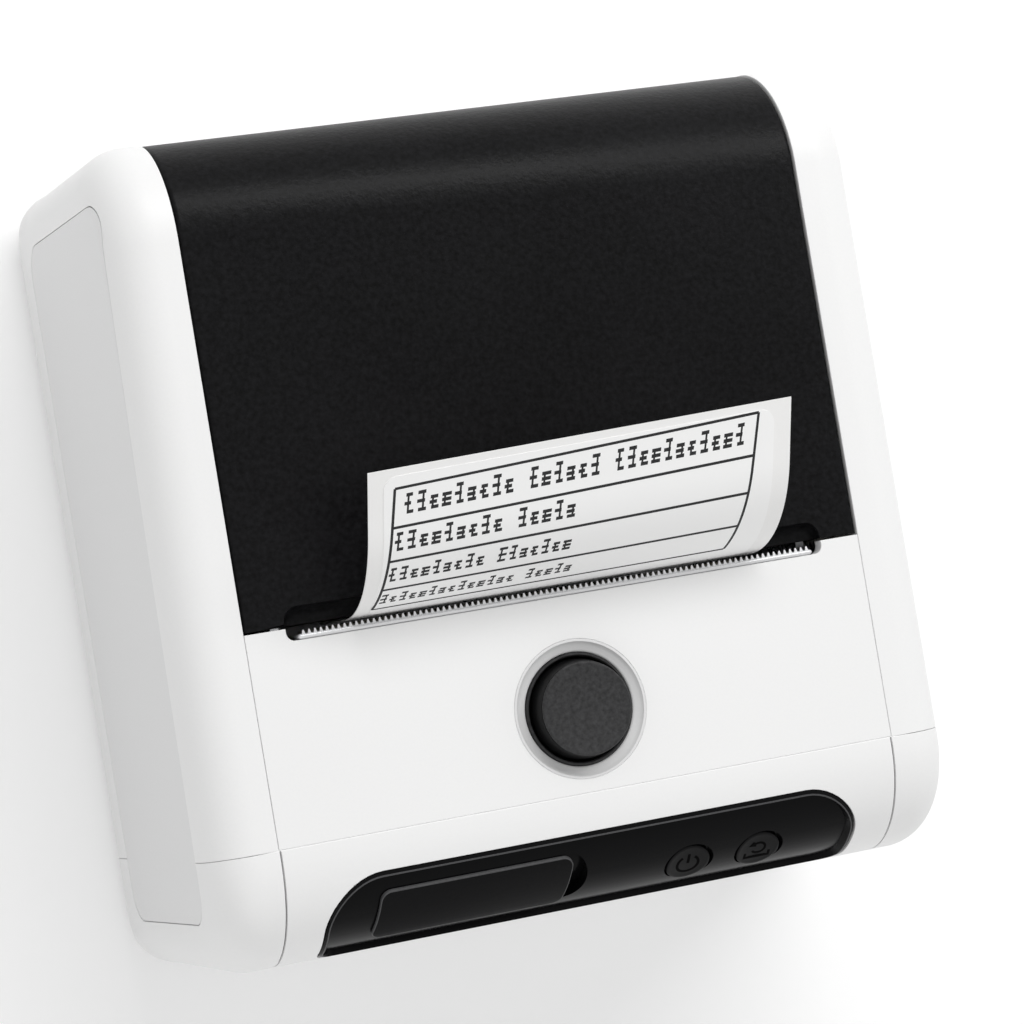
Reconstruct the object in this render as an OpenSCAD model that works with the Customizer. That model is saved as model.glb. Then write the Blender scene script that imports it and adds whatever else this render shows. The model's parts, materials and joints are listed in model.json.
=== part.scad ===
// Portable thermal label printer, lying on its back.
// +Z leaves the front face, -Y is the end with the control panel,
// +Y is the hinge end of the lid, X runs across the paper.
// The origin is the centre of the footprint, on the surface it lies on.
// All sizes are in millimetres.

/* [Case] */

// Length from the control end to the hinge end
case_len = 118; // [110:1:130]
// Width of each side rail beside the lid
rail_w = 10.15; // [9.8:0.05:13]
// Height of the front face above the surface, feet included
case_ht = 60; // [60:0.5:66]
// Wall thickness of the white shells
wall = 2.2; // [1.8:0.1:2.6]
// Radius of the rounded front edge at both ends
end_r = 16; // [14:0.5:18]
// Radius of the back edge at both ends
back_r = 8; // [6:0.5:10]
// Radius of the long front edge of each side rail
rail_r = 7; // [5:0.5:8]
// Radius of the long back edge of each side
side_back_r = 4; // [3:0.5:5]
// Distance from the rounded end's edge to the seam across the front
seam_in = 0.9; // [0.5:0.1:1.5]
// Gap left at a visible seam between two shells
seam_gap = 0.2; // [0.1:0.05:0.4]
// Depth of the pocket that holds each grey side panel
panel_deep = 1.0; // [0.8:0.1:1.2]
// Gap around each grey side panel
panel_gap = 0.25; // [0.15:0.05:0.4]

/* [Lid] */

// Distance the lid sits below the rails
lid_drop = 0.6; // [0.3:0.1:1]
// Thickness of the lid's shell
lid_wall = 2.0; // [1.6:0.1:2.4]
// Distance from the roller's axis to the lid's lower edge
lid_edge_in = 5.2; // [5:0.1:5.6]
// Radius of the lid's hinge knuckles
knuckle_r = 3.0; // [2.8:0.1:3.2]
// Depth of the lid's hinge axis under the front face
hinge_drop = 24; // [22:0.5:25]
// Radius of the two hinge pins
pin_r = 1.5; // [1.2:0.1:1.8]

/* [Paper path] */

// Width of the label backing
media_w = 62.4; // [40:0.2:76]
// Room in front of and behind a full paper roll
roll_gap = 2.1; // [2:0.1:4]
// Room between a full paper roll and the lid's ribs
roll_head = 3.9; // [2:0.1:6]
// Bore radius of the roll's cardboard core
core_r = 12.7; // [12.7:0.1:13]
// Thickness of the paper web
web_t = 0.15; // [0.1:0.05:0.2]
// Distance from the roller's axis to the slot's lower edge
slot_in = 7.3; // [7:0.1:7.6]
// Radius of the curl in the printed strip above the slot
curl_r = 20; // [15:1:25]

/* [Print mechanism] */

// Radius of the rubber platen roller
platen_r = 5.3; // [5:0.1:5.4]
// Distance of the roller's axis from the control end
platen_in = 52.4; // [52.2:0.1:53]
// Depth of the roller's axis under the front face
platen_drop = 10.5; // [10:0.1:11]
// Half length of the rubber on the roller
platen_half = 38.5; // [36:0.5:42]
// Gear module of the drive train
gear_m = 0.6; // [0.5:0.1:0.6]
// Teeth on the platen gear
platen_teeth = 20; // [18:1:20]
// Teeth on the idler gear
idler_teeth = 26; // [24:1:28]
// Teeth on the motor pinion
pinion_teeth = 12; // [12:1:14]
// Radius of the stepper motor's can
motor_r = 7.5; // [6:0.5:7.5]
// Depth of the print head's pivot rod under the roller's axis
pivot_drop = 6.5; // [6.1:0.1:6.7]
// Teeth per side on the tear bar's edge
tear_teeth = 44; // [30:1:60]

/* [Buttons] */

// Radius of the large lid release button
release_r = 7.15; // [6.5:0.05:7.2]
// Outer radius of the ring around the release button
ring_r = 9.95; // [9.5:0.05:10.5]
// Travel of the release button
release_travel = 1.5; // [1:0.1:1.5]
// Distance from the seam to the middle of the release button
release_in = 12; // [11.7:0.1:12.5]
// Radius of the power and feed buttons
small_r = 3.4; // [3.2:0.1:3.8]
// Sideways place of the power button
power_x = 15; // [14:0.5:16]
// Sideways place of the feed button
feed_x = 26.1; // [25.5:0.1:27]

/* [Control panel] */

// Tilt of the control panel from the front face, in degrees
tilt = 48.6; // [45:0.1:52]
// Half length of the control panel
ctrl_half = 41; // [40:0.5:42]
// Half height of the control panel
ctrl_high = 8.55; // [8:0.05:9]
// How much further the control panel reaches down its slope
ctrl_more = 1.4; // [0.8:0.1:1.6]
// Radius of the control panel's two lower corners
ctrl_low_r = 4; // [3:0.5:5]
// Place of both keys, up the panel's slope from its middle
keys_y = -1.1; // [-1.5:0.1:0]
// Width of the flap over the socket
flap_w = 31.3; // [28:0.1:32]
// Height of the flap over the socket
flap_h = 10.5; // [9:0.1:11]
// Sideways place of the flap's middle
flap_x = -18.65; // [-20:0.05:-17]

/* [Display] */

// Node to draw, or all

/* [Hidden] */

eps = 0.01;
foot_ht = 0.8;
hl = case_len/2;
top_z = case_ht;
in_z = foot_ht + wall;
// widths: the print mechanism sets the lid's, and the rails stand beside it
plate_x0 = platen_half + 1.5;
plate_x1 = plate_x0 + 1.2;
gear_x0 = plate_x1 + 2.9;
gear_x1 = gear_x0 + 2.2;
lid_half = gear_x1 + 0.3;
rail_in = lid_half + 0.35;
rail_wall = 1.6;
hw = lid_half + rail_w;
slot_half = platen_half + 2.4;
// centre line of the rounded end, and what is placed from it
arc_y = hl - end_r;
arc_z = top_z - end_r;
seam_y = arc_y - seam_in;
release_y = seam_y - release_in;
collar_r = ring_r + 1.6;
// the roller's axis, and what is placed from it
platen_y = hl - platen_in;
platen_z = top_z - platen_drop;
slot_y = platen_y + slot_in;
lid_edge_y = platen_y + lid_edge_in;
web_gap = 0.45;
web_y = -platen_y - platen_r - web_gap;
pivot_in = platen_r + 3.3;
spring_x = 24;
// the lid's hinge axis
hinge_y = hl - lid_drop - knuckle_r;
hinge_z = top_z - hinge_drop;
hinge_gap = 1.2;
lid_under = top_z - lid_drop - lid_wall;
rib_ht = 3;
pin_x0 = lid_half - 6.6;
pin_x1 = lid_half + 4.4;
// grooves in the cap that carry on the lid's side edges
groove_x = lid_half + 0.15;
groove_w = 0.3;
// feet of the bottom cap that take its screws
cap_foot_x = lid_half - 2.6;
cap_screw_y = 22 - hl;
// bay of the paper roll, between the walls of its tub
tub_wall = 1.2;
tub_half = lid_half - 1.6;
tub_floor = in_z + 1.5;
tub_y0 = -platen_y + 6.6;
tub_y1 = hl - 7.2;
bay_y0 = tub_y0 + 2.2 + tub_wall;
bay_y1 = tub_y1 - tub_wall;
rack_z = tub_floor + 0.3;
rack_t = 1.7;
roll_low = rack_z + rack_t + 1;
roll_r = min((bay_y1 - bay_y0)/2 - roll_gap, (lid_under - rib_ht - roll_head - roll_low)/2);
roll_y = (bay_y0 + bay_y1)/2;
roll_z = roll_low + roll_r;
// direction in which the platen leaves the mechanism
lift_y = (hinge_z - platen_z)/norm([hinge_y + platen_y, hinge_z - platen_z]);
lift_z = (hinge_y + platen_y)/norm([hinge_y + platen_y, hinge_z - platen_z]);
lash = 0.05;
idler_d = gear_m*(platen_teeth + idler_teeth)/2 + lash;
idler_y = -platen_y + lift_y*idler_d;
idler_z = platen_z - lift_z*idler_d;
motor_d = gear_m*(idler_teeth + pinion_teeth)/2 + lash;
motor_a = 20;
motor_y = idler_y - motor_d*cos(motor_a);
motor_z = idler_z - motor_d*sin(motor_a);

// ---------- helpers ----------

// Box given by its low and high corners.
module span(lo, hi) {
    translate(lo) cube([hi[0] - lo[0], hi[1] - lo[1], hi[2] - lo[2]]);
}

// Rectangle with one corner radius along the low edge and another along the high edge.
module soft_rect(x0, x1, y0, y1, r_lo, r_hi) {
    translate([x0, y0 + r_lo]) square([x1 - x0, y1 - y0 - r_lo - r_hi]);
    translate([x0 + r_lo, y0]) square([x1 - x0 - 2*r_lo, r_lo + 1]);
    translate([x0 + r_hi, y1 - r_hi - 1]) square([x1 - x0 - 2*r_hi, r_hi + 1]);
    for (x = [x0 + r_lo, x1 - r_lo]) translate([x, y0 + r_lo]) circle(r = r_lo, $fn = 64);
    for (x = [x0 + r_hi, x1 - r_hi]) translate([x, y1 - r_hi]) circle(r = r_hi, $fn = 96);
}

// Extrude a profile drawn in (Y, Z) along X, from x0 to x1.
module along_x(x0, x1) {
    translate([x0, 0, 0]) rotate([90, 0, 90]) linear_extrude(height = x1 - x0) children();
}

// Extrude a profile drawn in (X, Z) along Y, centred.
module along_y(len) {
    rotate([90, 0, 0]) linear_extrude(height = len, center = true) children();
}

// Cylinder along X between x0 and x1.
module rod_x(x0, x1, y, z, r) {
    translate([x0, y, z]) rotate([0, 90, 0]) cylinder(r = r, h = x1 - x0, $fn = 64);
}

// The case's outer form, moved inwards by inset.
module outer(inset) {
    intersection() {
        along_x(-hw + inset, hw - inset)
            soft_rect(-hl + inset, hl - inset, foot_ht + inset, top_z - inset,
                      back_r - inset, end_r - inset);
        along_y(case_len)
            soft_rect(-hw + inset, hw - inset, foot_ht + inset, top_z - inset,
                      max(side_back_r - inset, 0.8), rail_r - inset);
        linear_extrude(height = top_z + 5)
            soft_rect(-hw + inset, hw - inset, -hl + inset, hl - inset,
                      rail_r + 1 - inset, rail_r + 1 - inset);
    }
}

// Outline of a gear with straight-sided teeth.
module gear_2d(m, teeth) {
    r = m*teeth/2;
    root = r - 1.15*m;
    tip = r + 0.9*m;
    a = 360/teeth;
    circle(r = root, $fn = 96);
    for (i = [0:teeth - 1]) rotate(i*a)
        polygon([[root - 0.3, -0.33*a*r*PI/180 - 0.1*m], [r, -0.225*a*r*PI/180],
                 [tip, -0.11*a*r*PI/180], [tip, 0.11*a*r*PI/180],
                 [r, 0.225*a*r*PI/180], [root - 0.3, 0.33*a*r*PI/180 + 0.1*m]]);
}

// Gear on an axis along X, turned by the angle turn.
module gear_x(m, teeth, y, z, turn, x0, x1, bore) {
    translate([x0, y, z]) rotate([90, 0, 90]) difference() {
        linear_extrude(height = x1 - x0) rotate(turn) gear_2d(m, teeth);
        translate([0, 0, -1]) cylinder(r = bore, h = x1 - x0 + 2, $fn = 48);
    }
}

// Ridged sleeve in the shape of a coil spring standing along Z.
module coil(r, wire, len, turns) {
    p = len/turns;
    rotate_extrude($fn = 32) polygon(concat(
        [for (i = [0:2*turns]) [r + (i % 2)*wire/2, i*p/2]],
        [for (i = [2*turns:-1:0]) [r - wire + (i % 2)*wire/2, i*p/2]]));
}

// Countersunk or pan screw along Z with its head at the bottom.
module screw(head_r, head_h, r, len) {
    difference() {
        union() {
            cylinder(r = head_r, h = head_h, $fn = 32);
            translate([0, 0, head_h - eps]) cylinder(r = r, h = len + eps, $fn = 32);
        }
        translate([0, 0, -eps]) cylinder(r = head_r*0.45, h = head_h*0.6, $fn = 6);
    }
}

// Stadium in the plane, half length a and half height b.
module stadium(a, b) {
    square([2*(a - b), 2*b], center = true);
    for (s = [-1, 1]) translate([s*(a - b), 0]) circle(r = b, $fn = 96);
}

// Outline of the control panel, moved outwards: round ends, reaching further at the lower side.
module panel_shape(out) {
    half = ctrl_half + out;
    low = ctrl_high + ctrl_more + out;
    r = ctrl_low_r + out;
    stadium(half, ctrl_high + out);
    translate([0, -low/2]) square([2*(half - r), low], center = true);
    translate([0, (r - low)/2]) square([2*half, low - r], center = true);
    for (s = [-1, 1]) translate([s*(half - r), r - low]) circle(r = r, $fn = 64);
}

// Rectangle with equal corner radii, centred.
module round_rect(w, h, r) {
    square([w, h - 2*r], center = true);
    square([w - 2*r, h], center = true);
    for (x = [-1, 1], y = [-1, 1])
        translate([x*(w/2 - r), y*(h/2 - r)]) circle(r = r, $fn = 32);
}

// Move into the control panel's frame: its Z leaves the rounded front edge.
module ctrl() {
    translate([0, -arc_y, arc_z]) rotate([tilt, 0, 0]) children();
}

// Part of the rounded end between radii r0 and r1, in the panel's frame.
module end_skin(r0, r1, half) {
    difference() {
        translate([-half, 0, 0]) rotate([0, 90, 0]) cylinder(r = r1, h = 2*half, $fn = 128);
        translate([-half - 1, 0, 0]) rotate([0, 90, 0])
            cylinder(r = r0, h = 2*half + 2, $fn = 128);
    }
}

// Move to the roller's axis, which the whole print mechanism is placed from.
module at_platen() {
    translate([0, -platen_y, platen_z]) children();
}

// Places of the six case screws: four for the tub, two for the bottom cap.
module at_case_screws() {
    for (x = [-1, 1]) {
        translate([x*(tub_half - 4), tub_y0 + 3.2, 0]) children();
        translate([x*(tub_half - 4), tub_y1 - 4.6, 0]) children();
        translate([x*cap_foot_x, cap_screw_y, 0]) children();
    }
}

module at_mech_screws() {
    for (x = [-1, 1], y = [-19.2, -7.9])
        translate([x*(platen_half - 2), y - platen_y, 0]) children();
}

module at_feet() {
    for (x = [-1, 1], y = [28 - hl, hl - 19])
        translate([x*(lid_half + 2.9), y, 0]) children();
}

// Outline of a grey side panel in (Y, Z), moved inwards by inset.
module panel_2d(inset) {
    lo = foot_ht + 7.4 + inset;
    hi = top_z - 4.6 - inset;
    end = hl + 1;
    difference() {
        soft_rect(8 - hl + inset, hl - 8.4 - inset, lo, hi, 5.5, 4.5);
        // the front edge slants back towards the control end
        polygon([[end, hi - 0.2], [-end, hi - 5], [-end, hi + 15], [end, hi + 15]]);
        // the control end slants a little
        polygon([[11.4 - hl + inset, lo - 2], [7.9 - hl + inset, hi - 1.4],
                 [-end, hi - 1.4], [-end, lo - 2]]);
    }
}

// ---------- white shells and panels ----------

// Pockets for the grey panels in both sides.
module panel_pockets() {
    for (x = [-hw - 1, hw - panel_deep]) along_x(x, x + 1 + panel_deep) panel_2d(0);
}

module main_case() {
    color([0.95, 0.95, 0.95]) difference() {
        union() {
            difference() {
                outer(0);
                difference() {
                    outer(wall);
                    // inner walls of the two rails
                    for (x = [-rail_in - rail_wall, rail_in])
                        span([x, -seam_y - 1, hinge_z - 3], [x + rail_wall, hl, top_z]);
                    // bosses for the hinge pins
                    for (x = [-rail_in - 5, rail_in])
                        rod_x(x, x + 5, hinge_y, hinge_z, 3.2);
                }
                // the open front between the rails, and the lid's end
                span([-rail_in, -hl - 1, hinge_z - knuckle_r - hinge_gap],
                     [rail_in, hl + 1, top_z + 1]);
                span([-rail_in, -hl - 1, in_z + 4], [rail_in, hl - 10, top_z + 1]);
                // everything below the seam belongs to the bottom cap
                span([-hw - 1, -hl - 1, -1], [hw + 1, -seam_y + seam_gap/2, top_z + 1]);
            }
        }
        panel_pockets();
        for (x = [-pin_x1 - 0.5, rail_in - 1])
            rod_x(x, x + pin_x1 + 1.5 - rail_in, hinge_y, hinge_z, pin_r);
        at_case_screws() {
            cylinder(r = 1.5, h = 5, $fn = 32);
            cylinder(r = 3.0, h = foot_ht + 1.0, $fn = 32);
        }
        at_feet() cylinder(r = 4.1, h = foot_ht + 0.6, $fn = 48);
    }
}

module bottom_cap() {
    color([0.95, 0.95, 0.95]) difference() {
        union() {
            difference() {
                outer(0);
                outer(wall);
                span([-hw - 1, -seam_y - seam_gap/2, -1], [hw + 1, hl + 1, top_z + 1]);
            }
            // lips that slide under the front cover
            for (x = [2.6 - lid_half, lid_half - 32.6]) {
                span([x, -seam_y - 2.3, top_z - wall - 1.4],
                     [x + 30, -seam_y - seam_gap/2, top_z - wall + 0.1]);
                span([x, -seam_y - 2.3, top_z - wall - 1.4],
                     [x + 30, -seam_y + 4, top_z - wall - 0.1]);
            }
            // feet of the cap that take its two screws
            for (x = [-cap_foot_x, cap_foot_x]) {
                span([x - 4, 8.5 - hl, in_z - 0.5], [x + 4, -seam_y - 0.5, in_z + 3.1]);
                span([x - 4, 15 - hl, in_z + 0.1], [x + 4, cap_screw_y + 3.5, in_z + 3.1]);
                translate([x, cap_screw_y, in_z + 0.1]) cylinder(r = 3, h = 6, $fn = 32);
            }
        }
        ctrl() translate([0, 0, 9.2]) linear_extrude(height = 11) panel_shape(0);
        // grooves that carry on the lid's side edges
        for (x = [-1, 1]) difference() {
            span([x*groove_x - groove_w/2, -hl - 1, foot_ht + 19.2],
                 [x*groove_x + groove_w/2, -seam_y, top_z + 1]);
            outer(0.4);
        }
        for (x = [-cap_foot_x, cap_foot_x])
            translate([x, cap_screw_y, 0]) cylinder(r = 1.1, h = 9, $fn = 32);
        panel_pockets();
    }
}

module front_cover() {
    y0 = -seam_y + seam_gap/2;
    color([0.96, 0.96, 0.96]) difference() {
        union() {
            span([-lid_half, y0, top_z - wall], [lid_half, -lid_edge_y - 0.3, top_z]);
            // side skirts
            for (x = [-lid_half, lid_half - 1.5])
                span([x, y0 + 6, top_z - 8], [x + 1.5, -slot_y - 6.1, top_z - 1]);
            // collar around the button sleeve
            translate([0, -release_y, top_z - 6]) cylinder(r = collar_r, h = 5, $fn = 96);
        }
        // slot with rounded ends
        span([-slot_half + 1, -slot_y, top_z - 4], [slot_half - 1, 0, top_z + 1]);
        span([-slot_half, -slot_y + 1, top_z - 4], [slot_half, 0, top_z + 1]);
        for (x = [-1, 1]) translate([x*(slot_half - 1), -slot_y + 1, top_z - 4])
            cylinder(r = 1, h = 5, $fn = 32);
        translate([0, -release_y, top_z - 3.4]) cylinder(r = ring_r + 0.1, h = 5, $fn = 96);
        translate([0, -release_y, top_z - 10]) cylinder(r = bore_r + 0.65, h = 12, $fn = 96);
    }
}

module side_panel(s) {
    x0 = s < 0 ? -hw : hw - panel_deep + 0.05;
    color([0.82, 0.82, 0.82]) intersection() {
        along_x(x0, x0 + panel_deep - 0.05) panel_2d(panel_gap);
        outer(0);
    }
}

module side_panel_left() {
    side_panel(-1);
}

module side_panel_right() {
    side_panel(1);
}

module feet() {
    color([0.15, 0.15, 0.15]) at_feet() cylinder(r = 4, h = foot_ht + 0.6, $fn = 48);
}

module case_screws() {
    color([0.5, 0.5, 0.52]) at_case_screws()
        translate([0, 0, foot_ht + 0.1]) screw(2.6, 0.9, 1.1, 6.5);
}

module rating_plate() {
    color([0.9, 0.9, 0.9]) translate([0, bay_y0 + 2.6, foot_ht - 0.15])
        linear_extrude(height = 0.15) round_rect(52, 30, 2);
}

module hinge_pins() {
    color([0.75, 0.75, 0.77]) for (x = [-pin_x1, pin_x0])
        rod_x(x, x + pin_x1 - pin_x0, hinge_y, hinge_z, pin_r);
}

// ---------- roll compartment ----------

// Tangent point of the web on the roll, and where the web turns upright.
nip_z = platen_z - 5.5;
to_y = web_y - roll_y;
to_z = nip_z - roll_z;
tan_a = atan2(to_z, to_y) + acos((roll_r + 0.4)/norm([to_y, to_z]));
tan_y = roll_y + (roll_r + 0.4)*cos(tan_a);
tan_z = roll_z + (roll_r + 0.4)*sin(tan_a);
web_a = atan2(nip_z - tan_z, web_y - tan_y);
// the sloping wall runs under the web, from the tub's front wall to the mechanism
slope_gap = 1.37;
slope_t = 1.4;
slope_s0 = slope_at(bay_y0);
slope_s1 = slope_at(-platen_y - 0.2);
sensor_s = slope_s0 + 3.1;

// Distance along the web at which the sloping wall's face has the given Y.
function slope_at(y) = (y - tan_y + slope_gap*sin(web_a))/cos(web_a);

// Rectangle in (Y, Z) that lies under the web, from s0 to s1 along it.
module under_web(s0, s1, off, t) {
    translate([tan_y, tan_z]) rotate(web_a) translate([s0, off]) square([s1 - s0, t]);
}

module roll_tub() {
    wall_top = tan_z + slope_s0*sin(web_a) + slope_gap*cos(web_a);
    color([0.13, 0.13, 0.14]) difference() {
        union() {
            span([-tub_half, tub_y0, in_z + 0.1], [tub_half, tub_y1, tub_floor]);
            for (x = [-tub_half, tub_half - tub_wall])
                span([x, tub_y0, in_z + 0.1], [x + tub_wall, tub_y1, hinge_z + 4]);
            span([-tub_half, tub_y1 - tub_wall, in_z + 0.1], [tub_half, tub_y1, hinge_z - 6]);
            span([-tub_half, bay_y0 - tub_wall, in_z + 0.1], [tub_half, bay_y0, wall_top]);
            // sloping wall that guides the web up to the print head
            along_x(-plate_x0 + 1, plate_x0 - 1)
                under_web(slope_s0, slope_s1, slope_gap, slope_t);
            // post of the guides' pinion
            translate([0, roll_y, in_z + 0.1]) cylinder(r = 1.5, h = 3.6, $fn = 32);
            at_case_screws() intersection() {
                translate([0, 0, in_z + 0.1]) cylinder(r = 3, h = 9, $fn = 32);
                span([-10, -10, 0], [10, 10, 20]);
            }
        }
        // the cap's screws stand outside the tub
        span([-hw, -hl, -1], [hw, cap_screw_y + 10, hinge_z]);
        at_case_screws() cylinder(r = 1.1, h = 10.5, $fn = 32);
        // window for the gap sensor
        along_x(-sensor_half - 0.2, sensor_half + 0.2)
            under_web(sensor_s - 0.3, sensor_s + 6.3, 0.3, 4.3);
    }
}

sensor_half = 5;

module gap_sensor() {
    color([0.08, 0.08, 0.09]) difference() {
        along_x(-sensor_half, sensor_half) under_web(sensor_s, sensor_s + 6, slope_gap, 2.7);
        // eyes of the light and its receiver
        for (x = [-2.2, 2.2]) translate([x, tan_y, tan_z]) rotate([web_a, 0, 0])
            translate([0, sensor_s + 3, slope_gap + 0.6]) rotate([180, 0, 0])
                cylinder(r = 0.9, h = 1.2, $fn = 24);
    }
}

guide_gap = media_w/2 + 0.5;
rack_m = 0.8;
rack_r = 6*rack_m;

// One roll guide: a plate with a hub, a foot and a rack bar. s is its side.
module guide(s) {
    y_rack = roll_y - s*rack_r;
    difference() {
        union() {
            // plate
            translate([s*guide_gap, 0, 0]) along_x(min(0, s*1.5), max(0, s*1.5))
                difference() {
                    union() {
                        translate([roll_y, roll_z]) circle(r = roll_r - 6, $fn = 96);
                        translate([roll_y - 10, rack_z]) square([20, roll_z - rack_z - 5]);
                    }
                    translate([roll_y, roll_z]) circle(r = 5, $fn = 64);
                }
            // hub that the roll's core turns on
            difference() {
                rod_x(min(s*(guide_gap - 7), s*guide_gap), max(s*(guide_gap - 7), s*guide_gap),
                      roll_y, roll_z, core_r - 0.4);
                rod_x(-50, 50, roll_y, roll_z, core_r - 2.4);
            }
            // rack bar
            translate([0, y_rack - s*1.1, rack_z])
                linear_extrude(height = rack_t)
                    translate([min(-s*13, s*guide_gap), s > 0 ? -2.2 : 0])
                        square([guide_gap + 13, 2.2]);
            for (i = [-5:10]) translate([s*i*rack_m*PI, y_rack, rack_z])
                linear_extrude(height = rack_t) polygon([
                    [-0.82, -s*1.2], [-0.56, 0], [-0.3, s*0.72],
                    [0.3, s*0.72], [0.56, 0], [0.82, -s*1.2]]);
        }
    }
}

module guide_left() {
    color([0.2, 0.2, 0.21]) guide(-1);
}

module guide_right() {
    color([0.2, 0.2, 0.21]) guide(1);
}

module guide_pinion() {
    color([0.85, 0.83, 0.75]) translate([0, roll_y, rack_z]) difference() {
        linear_extrude(height = rack_t) rotate(15) gear_2d(rack_m, 12);
        translate([0, 0, -1]) cylinder(r = 1.55, h = 4, $fn = 32);
    }
}

module label_roll() {
    color([0.97, 0.97, 0.95]) difference() {
        rod_x(-media_w/2, media_w/2, roll_y, roll_z, roll_r);
        rod_x(-media_w, media_w, roll_y, roll_z, core_r + 1.5);
    }
}

module roll_core() {
    color([0.7, 0.58, 0.42]) difference() {
        rod_x(-media_w/2, media_w/2, roll_y, roll_z, core_r + 1.5);
        rod_x(-media_w, media_w, roll_y, roll_z, core_r);
    }
}

module web() {
    ny = sin(web_a);
    nz = -cos(web_a);
    end_z = strip_low - 0.3;
    color([0.97, 0.97, 0.95]) along_x(-media_w/2, media_w/2) polygon([
        [tan_y, tan_z], [web_y, nip_z], [web_y, end_z], [web_y + web_t, end_z],
        [web_y + web_t, nip_z], [tan_y + ny*web_t, tan_z + nz*web_t]]);
}

// ---------- print mechanism ----------

// Low and high face of the bracket's base, from the roller's axis.
base_lo = -26.5;
base_hi = base_lo + 1.2;
// Front and back of the bracket, from the roller's axis.
frame_y0 = -22.6;
frame_y1 = 6.2;

module mech_bracket() {
    color([0.7, 0.71, 0.73]) at_platen() difference() {
        union() {
            for (x = [-plate_x1, plate_x0]) along_x(x, x + plate_x1 - plate_x0) difference() {
                polygon([[frame_y0, base_lo], [2.6, base_lo], [frame_y1, -19.5],
                         [frame_y1, 3.5], [-6.6, 3.5], [-10.4, 0.5], [frame_y0, 0.5]]);
                // open seat for the roller's bushing
                circle(r = bush_r + 0.3, $fn = 64);
                polygon([[-3.3, -0.1], [-3.6, 6], [6, 6], [3.3, -0.1]]);
                translate([-pivot_in, -pivot_drop]) circle(r = 1, $fn = 32);
                if (x > 0) translate([motor_y + platen_y, motor_z - platen_z])
                    circle(r = 2.5, $fn = 48);
                if (x > 0) translate([idler_y + platen_y, idler_z - platen_z])
                    circle(r = 1.25, $fn = 32);
            }
            span([-plate_x1, frame_y0, base_lo], [plate_x1, 2.6, base_hi]);
            span([-plate_x1, frame_y0, base_lo], [plate_x1, frame_y0 + 1.2, 0.5]);
        }
        // room for the release arm, the head cable and the spring cups
        span([-8, frame_y0 - 1, -7.5], [8, frame_y0 + 2, 1.5]);
        span([-33, frame_y0 - 1, -24], [-5, frame_y0 + 2, -18.5]);
        for (x = [-spring_x, spring_x]) translate([x, frame_y0 + 3, -1.5]) rotate([90, 0, 0])
            cylinder(r = 2.5, h = 4, $fn = 32);
        // room for the tub's sloping wall
        span([0.5 - plate_x0, -3.9, base_lo - 1], [plate_x0 - 0.5, 3.6, base_hi + 1]);
        translate([0, platen_y, -platen_z]) at_mech_screws() cylinder(r = 1.1, h = platen_z, $fn = 32);
    }
}

module mech_screws() {
    color([0.5, 0.5, 0.52]) at_mech_screws() translate([0, 0, platen_z + base_hi + 0.9])
        rotate([180, 0, 0]) screw(2.0, 0.9, 1.0, 5);
}

module spring_cups() {
    color([0.2, 0.2, 0.21]) at_platen() for (x = [-spring_x, spring_x])
        translate([x, frame_y0, -1.5]) rotate([90, 0, 0]) difference() {
            cylinder(r = 3.3, h = 3, $fn = 32);
            translate([0, 0, -1]) cylinder(r = 2.5, h = 3.2, $fn = 32);
        }
}

module head_springs() {
    color([0.7, 0.7, 0.72]) at_platen() for (x = [-spring_x, spring_x])
        translate([x, -sink_y0 - 0.85, -1.5]) rotate([90, 0, 0]) coil(2.0, 0.5, 12.3, 7);
}

// Faces of the heat sink and the print head, in front of the roller's axis.
sink_y1 = platen_r + 2.3;
sink_y0 = sink_y1 + 1.7;

module heat_sink() {
    color([0.75, 0.76, 0.78]) at_platen() difference() {
        union() {
            span([0.5 - platen_half, -sink_y0, -7.5], [platen_half - 0.5, -sink_y1, 5.5]);
            rod_x(-platen_half - 1.1, 8.5 - platen_half, -pivot_in, -pivot_drop, 1.9);
            rod_x(platen_half - 8.5, platen_half + 1.1, -pivot_in, -pivot_drop, 1.9);
            // release arm pressed by the large button
            span([-5, platen_y - release_y - 2.4, platen_drop + button_tip - 1.8],
                 [5, 0.9 - sink_y0, platen_drop + button_tip - 0.3]);
            // fins
            for (x = [2.5 - platen_half:6:-12]) span([x, -sink_y0 - 1.5, -4.5], [x + 1, 0.9 - sink_y0, 5.1]);
            for (x = [11:6:platen_half - 3]) span([x, -sink_y0 - 1.5, 1.3], [x + 1, 0.9 - sink_y0, 5.1]);
        }
        rod_x(-50, 50, -pivot_in, -pivot_drop, 1.05);
        // fins stay clear of the springs
        for (x = [-spring_x, spring_x]) translate([x, -sink_y0, -1.5]) rotate([90, 0, 0])
            cylinder(r = 2.8, h = 5, $fn = 32);
    }
}

module head_rod() {
    color([0.8, 0.8, 0.82]) at_platen()
        rod_x(-plate_x1 - 0.6, plate_x1 + 0.6, -pivot_in, -pivot_drop, 1);
}

module print_head() {
    color([0.88, 0.86, 0.8]) at_platen() union() {
        span([1 - platen_half, -sink_y1, -4.9], [platen_half - 1, 1.1 - sink_y1, 4.5]);
        // raised glaze that carries the heater line
        intersection() {
            rod_x(2.5 - platen_half, platen_half - 2.5, -platen_r - 3.25, 0, 2.5);
            span([2.5 - platen_half, 0.6 - sink_y1, -3.5], [platen_half - 2.5, -5, 3.5]);
        }
    }
}

module motor() {
    flange = 2*motor_r + 0.2;
    color([0.6, 0.61, 0.63]) difference() {
        union() {
            rod_x(plate_x0 - 18.5, plate_x0 - 0.6, motor_y, motor_z, motor_r);
            along_x(plate_x0 - 0.6, plate_x0)
                translate([motor_y, motor_z]) round_rect(flange, flange, 2);
        }
        rod_x(plate_x0 - 10, plate_x0 + 1, motor_y, motor_z, 0.8);
    }
}

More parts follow.
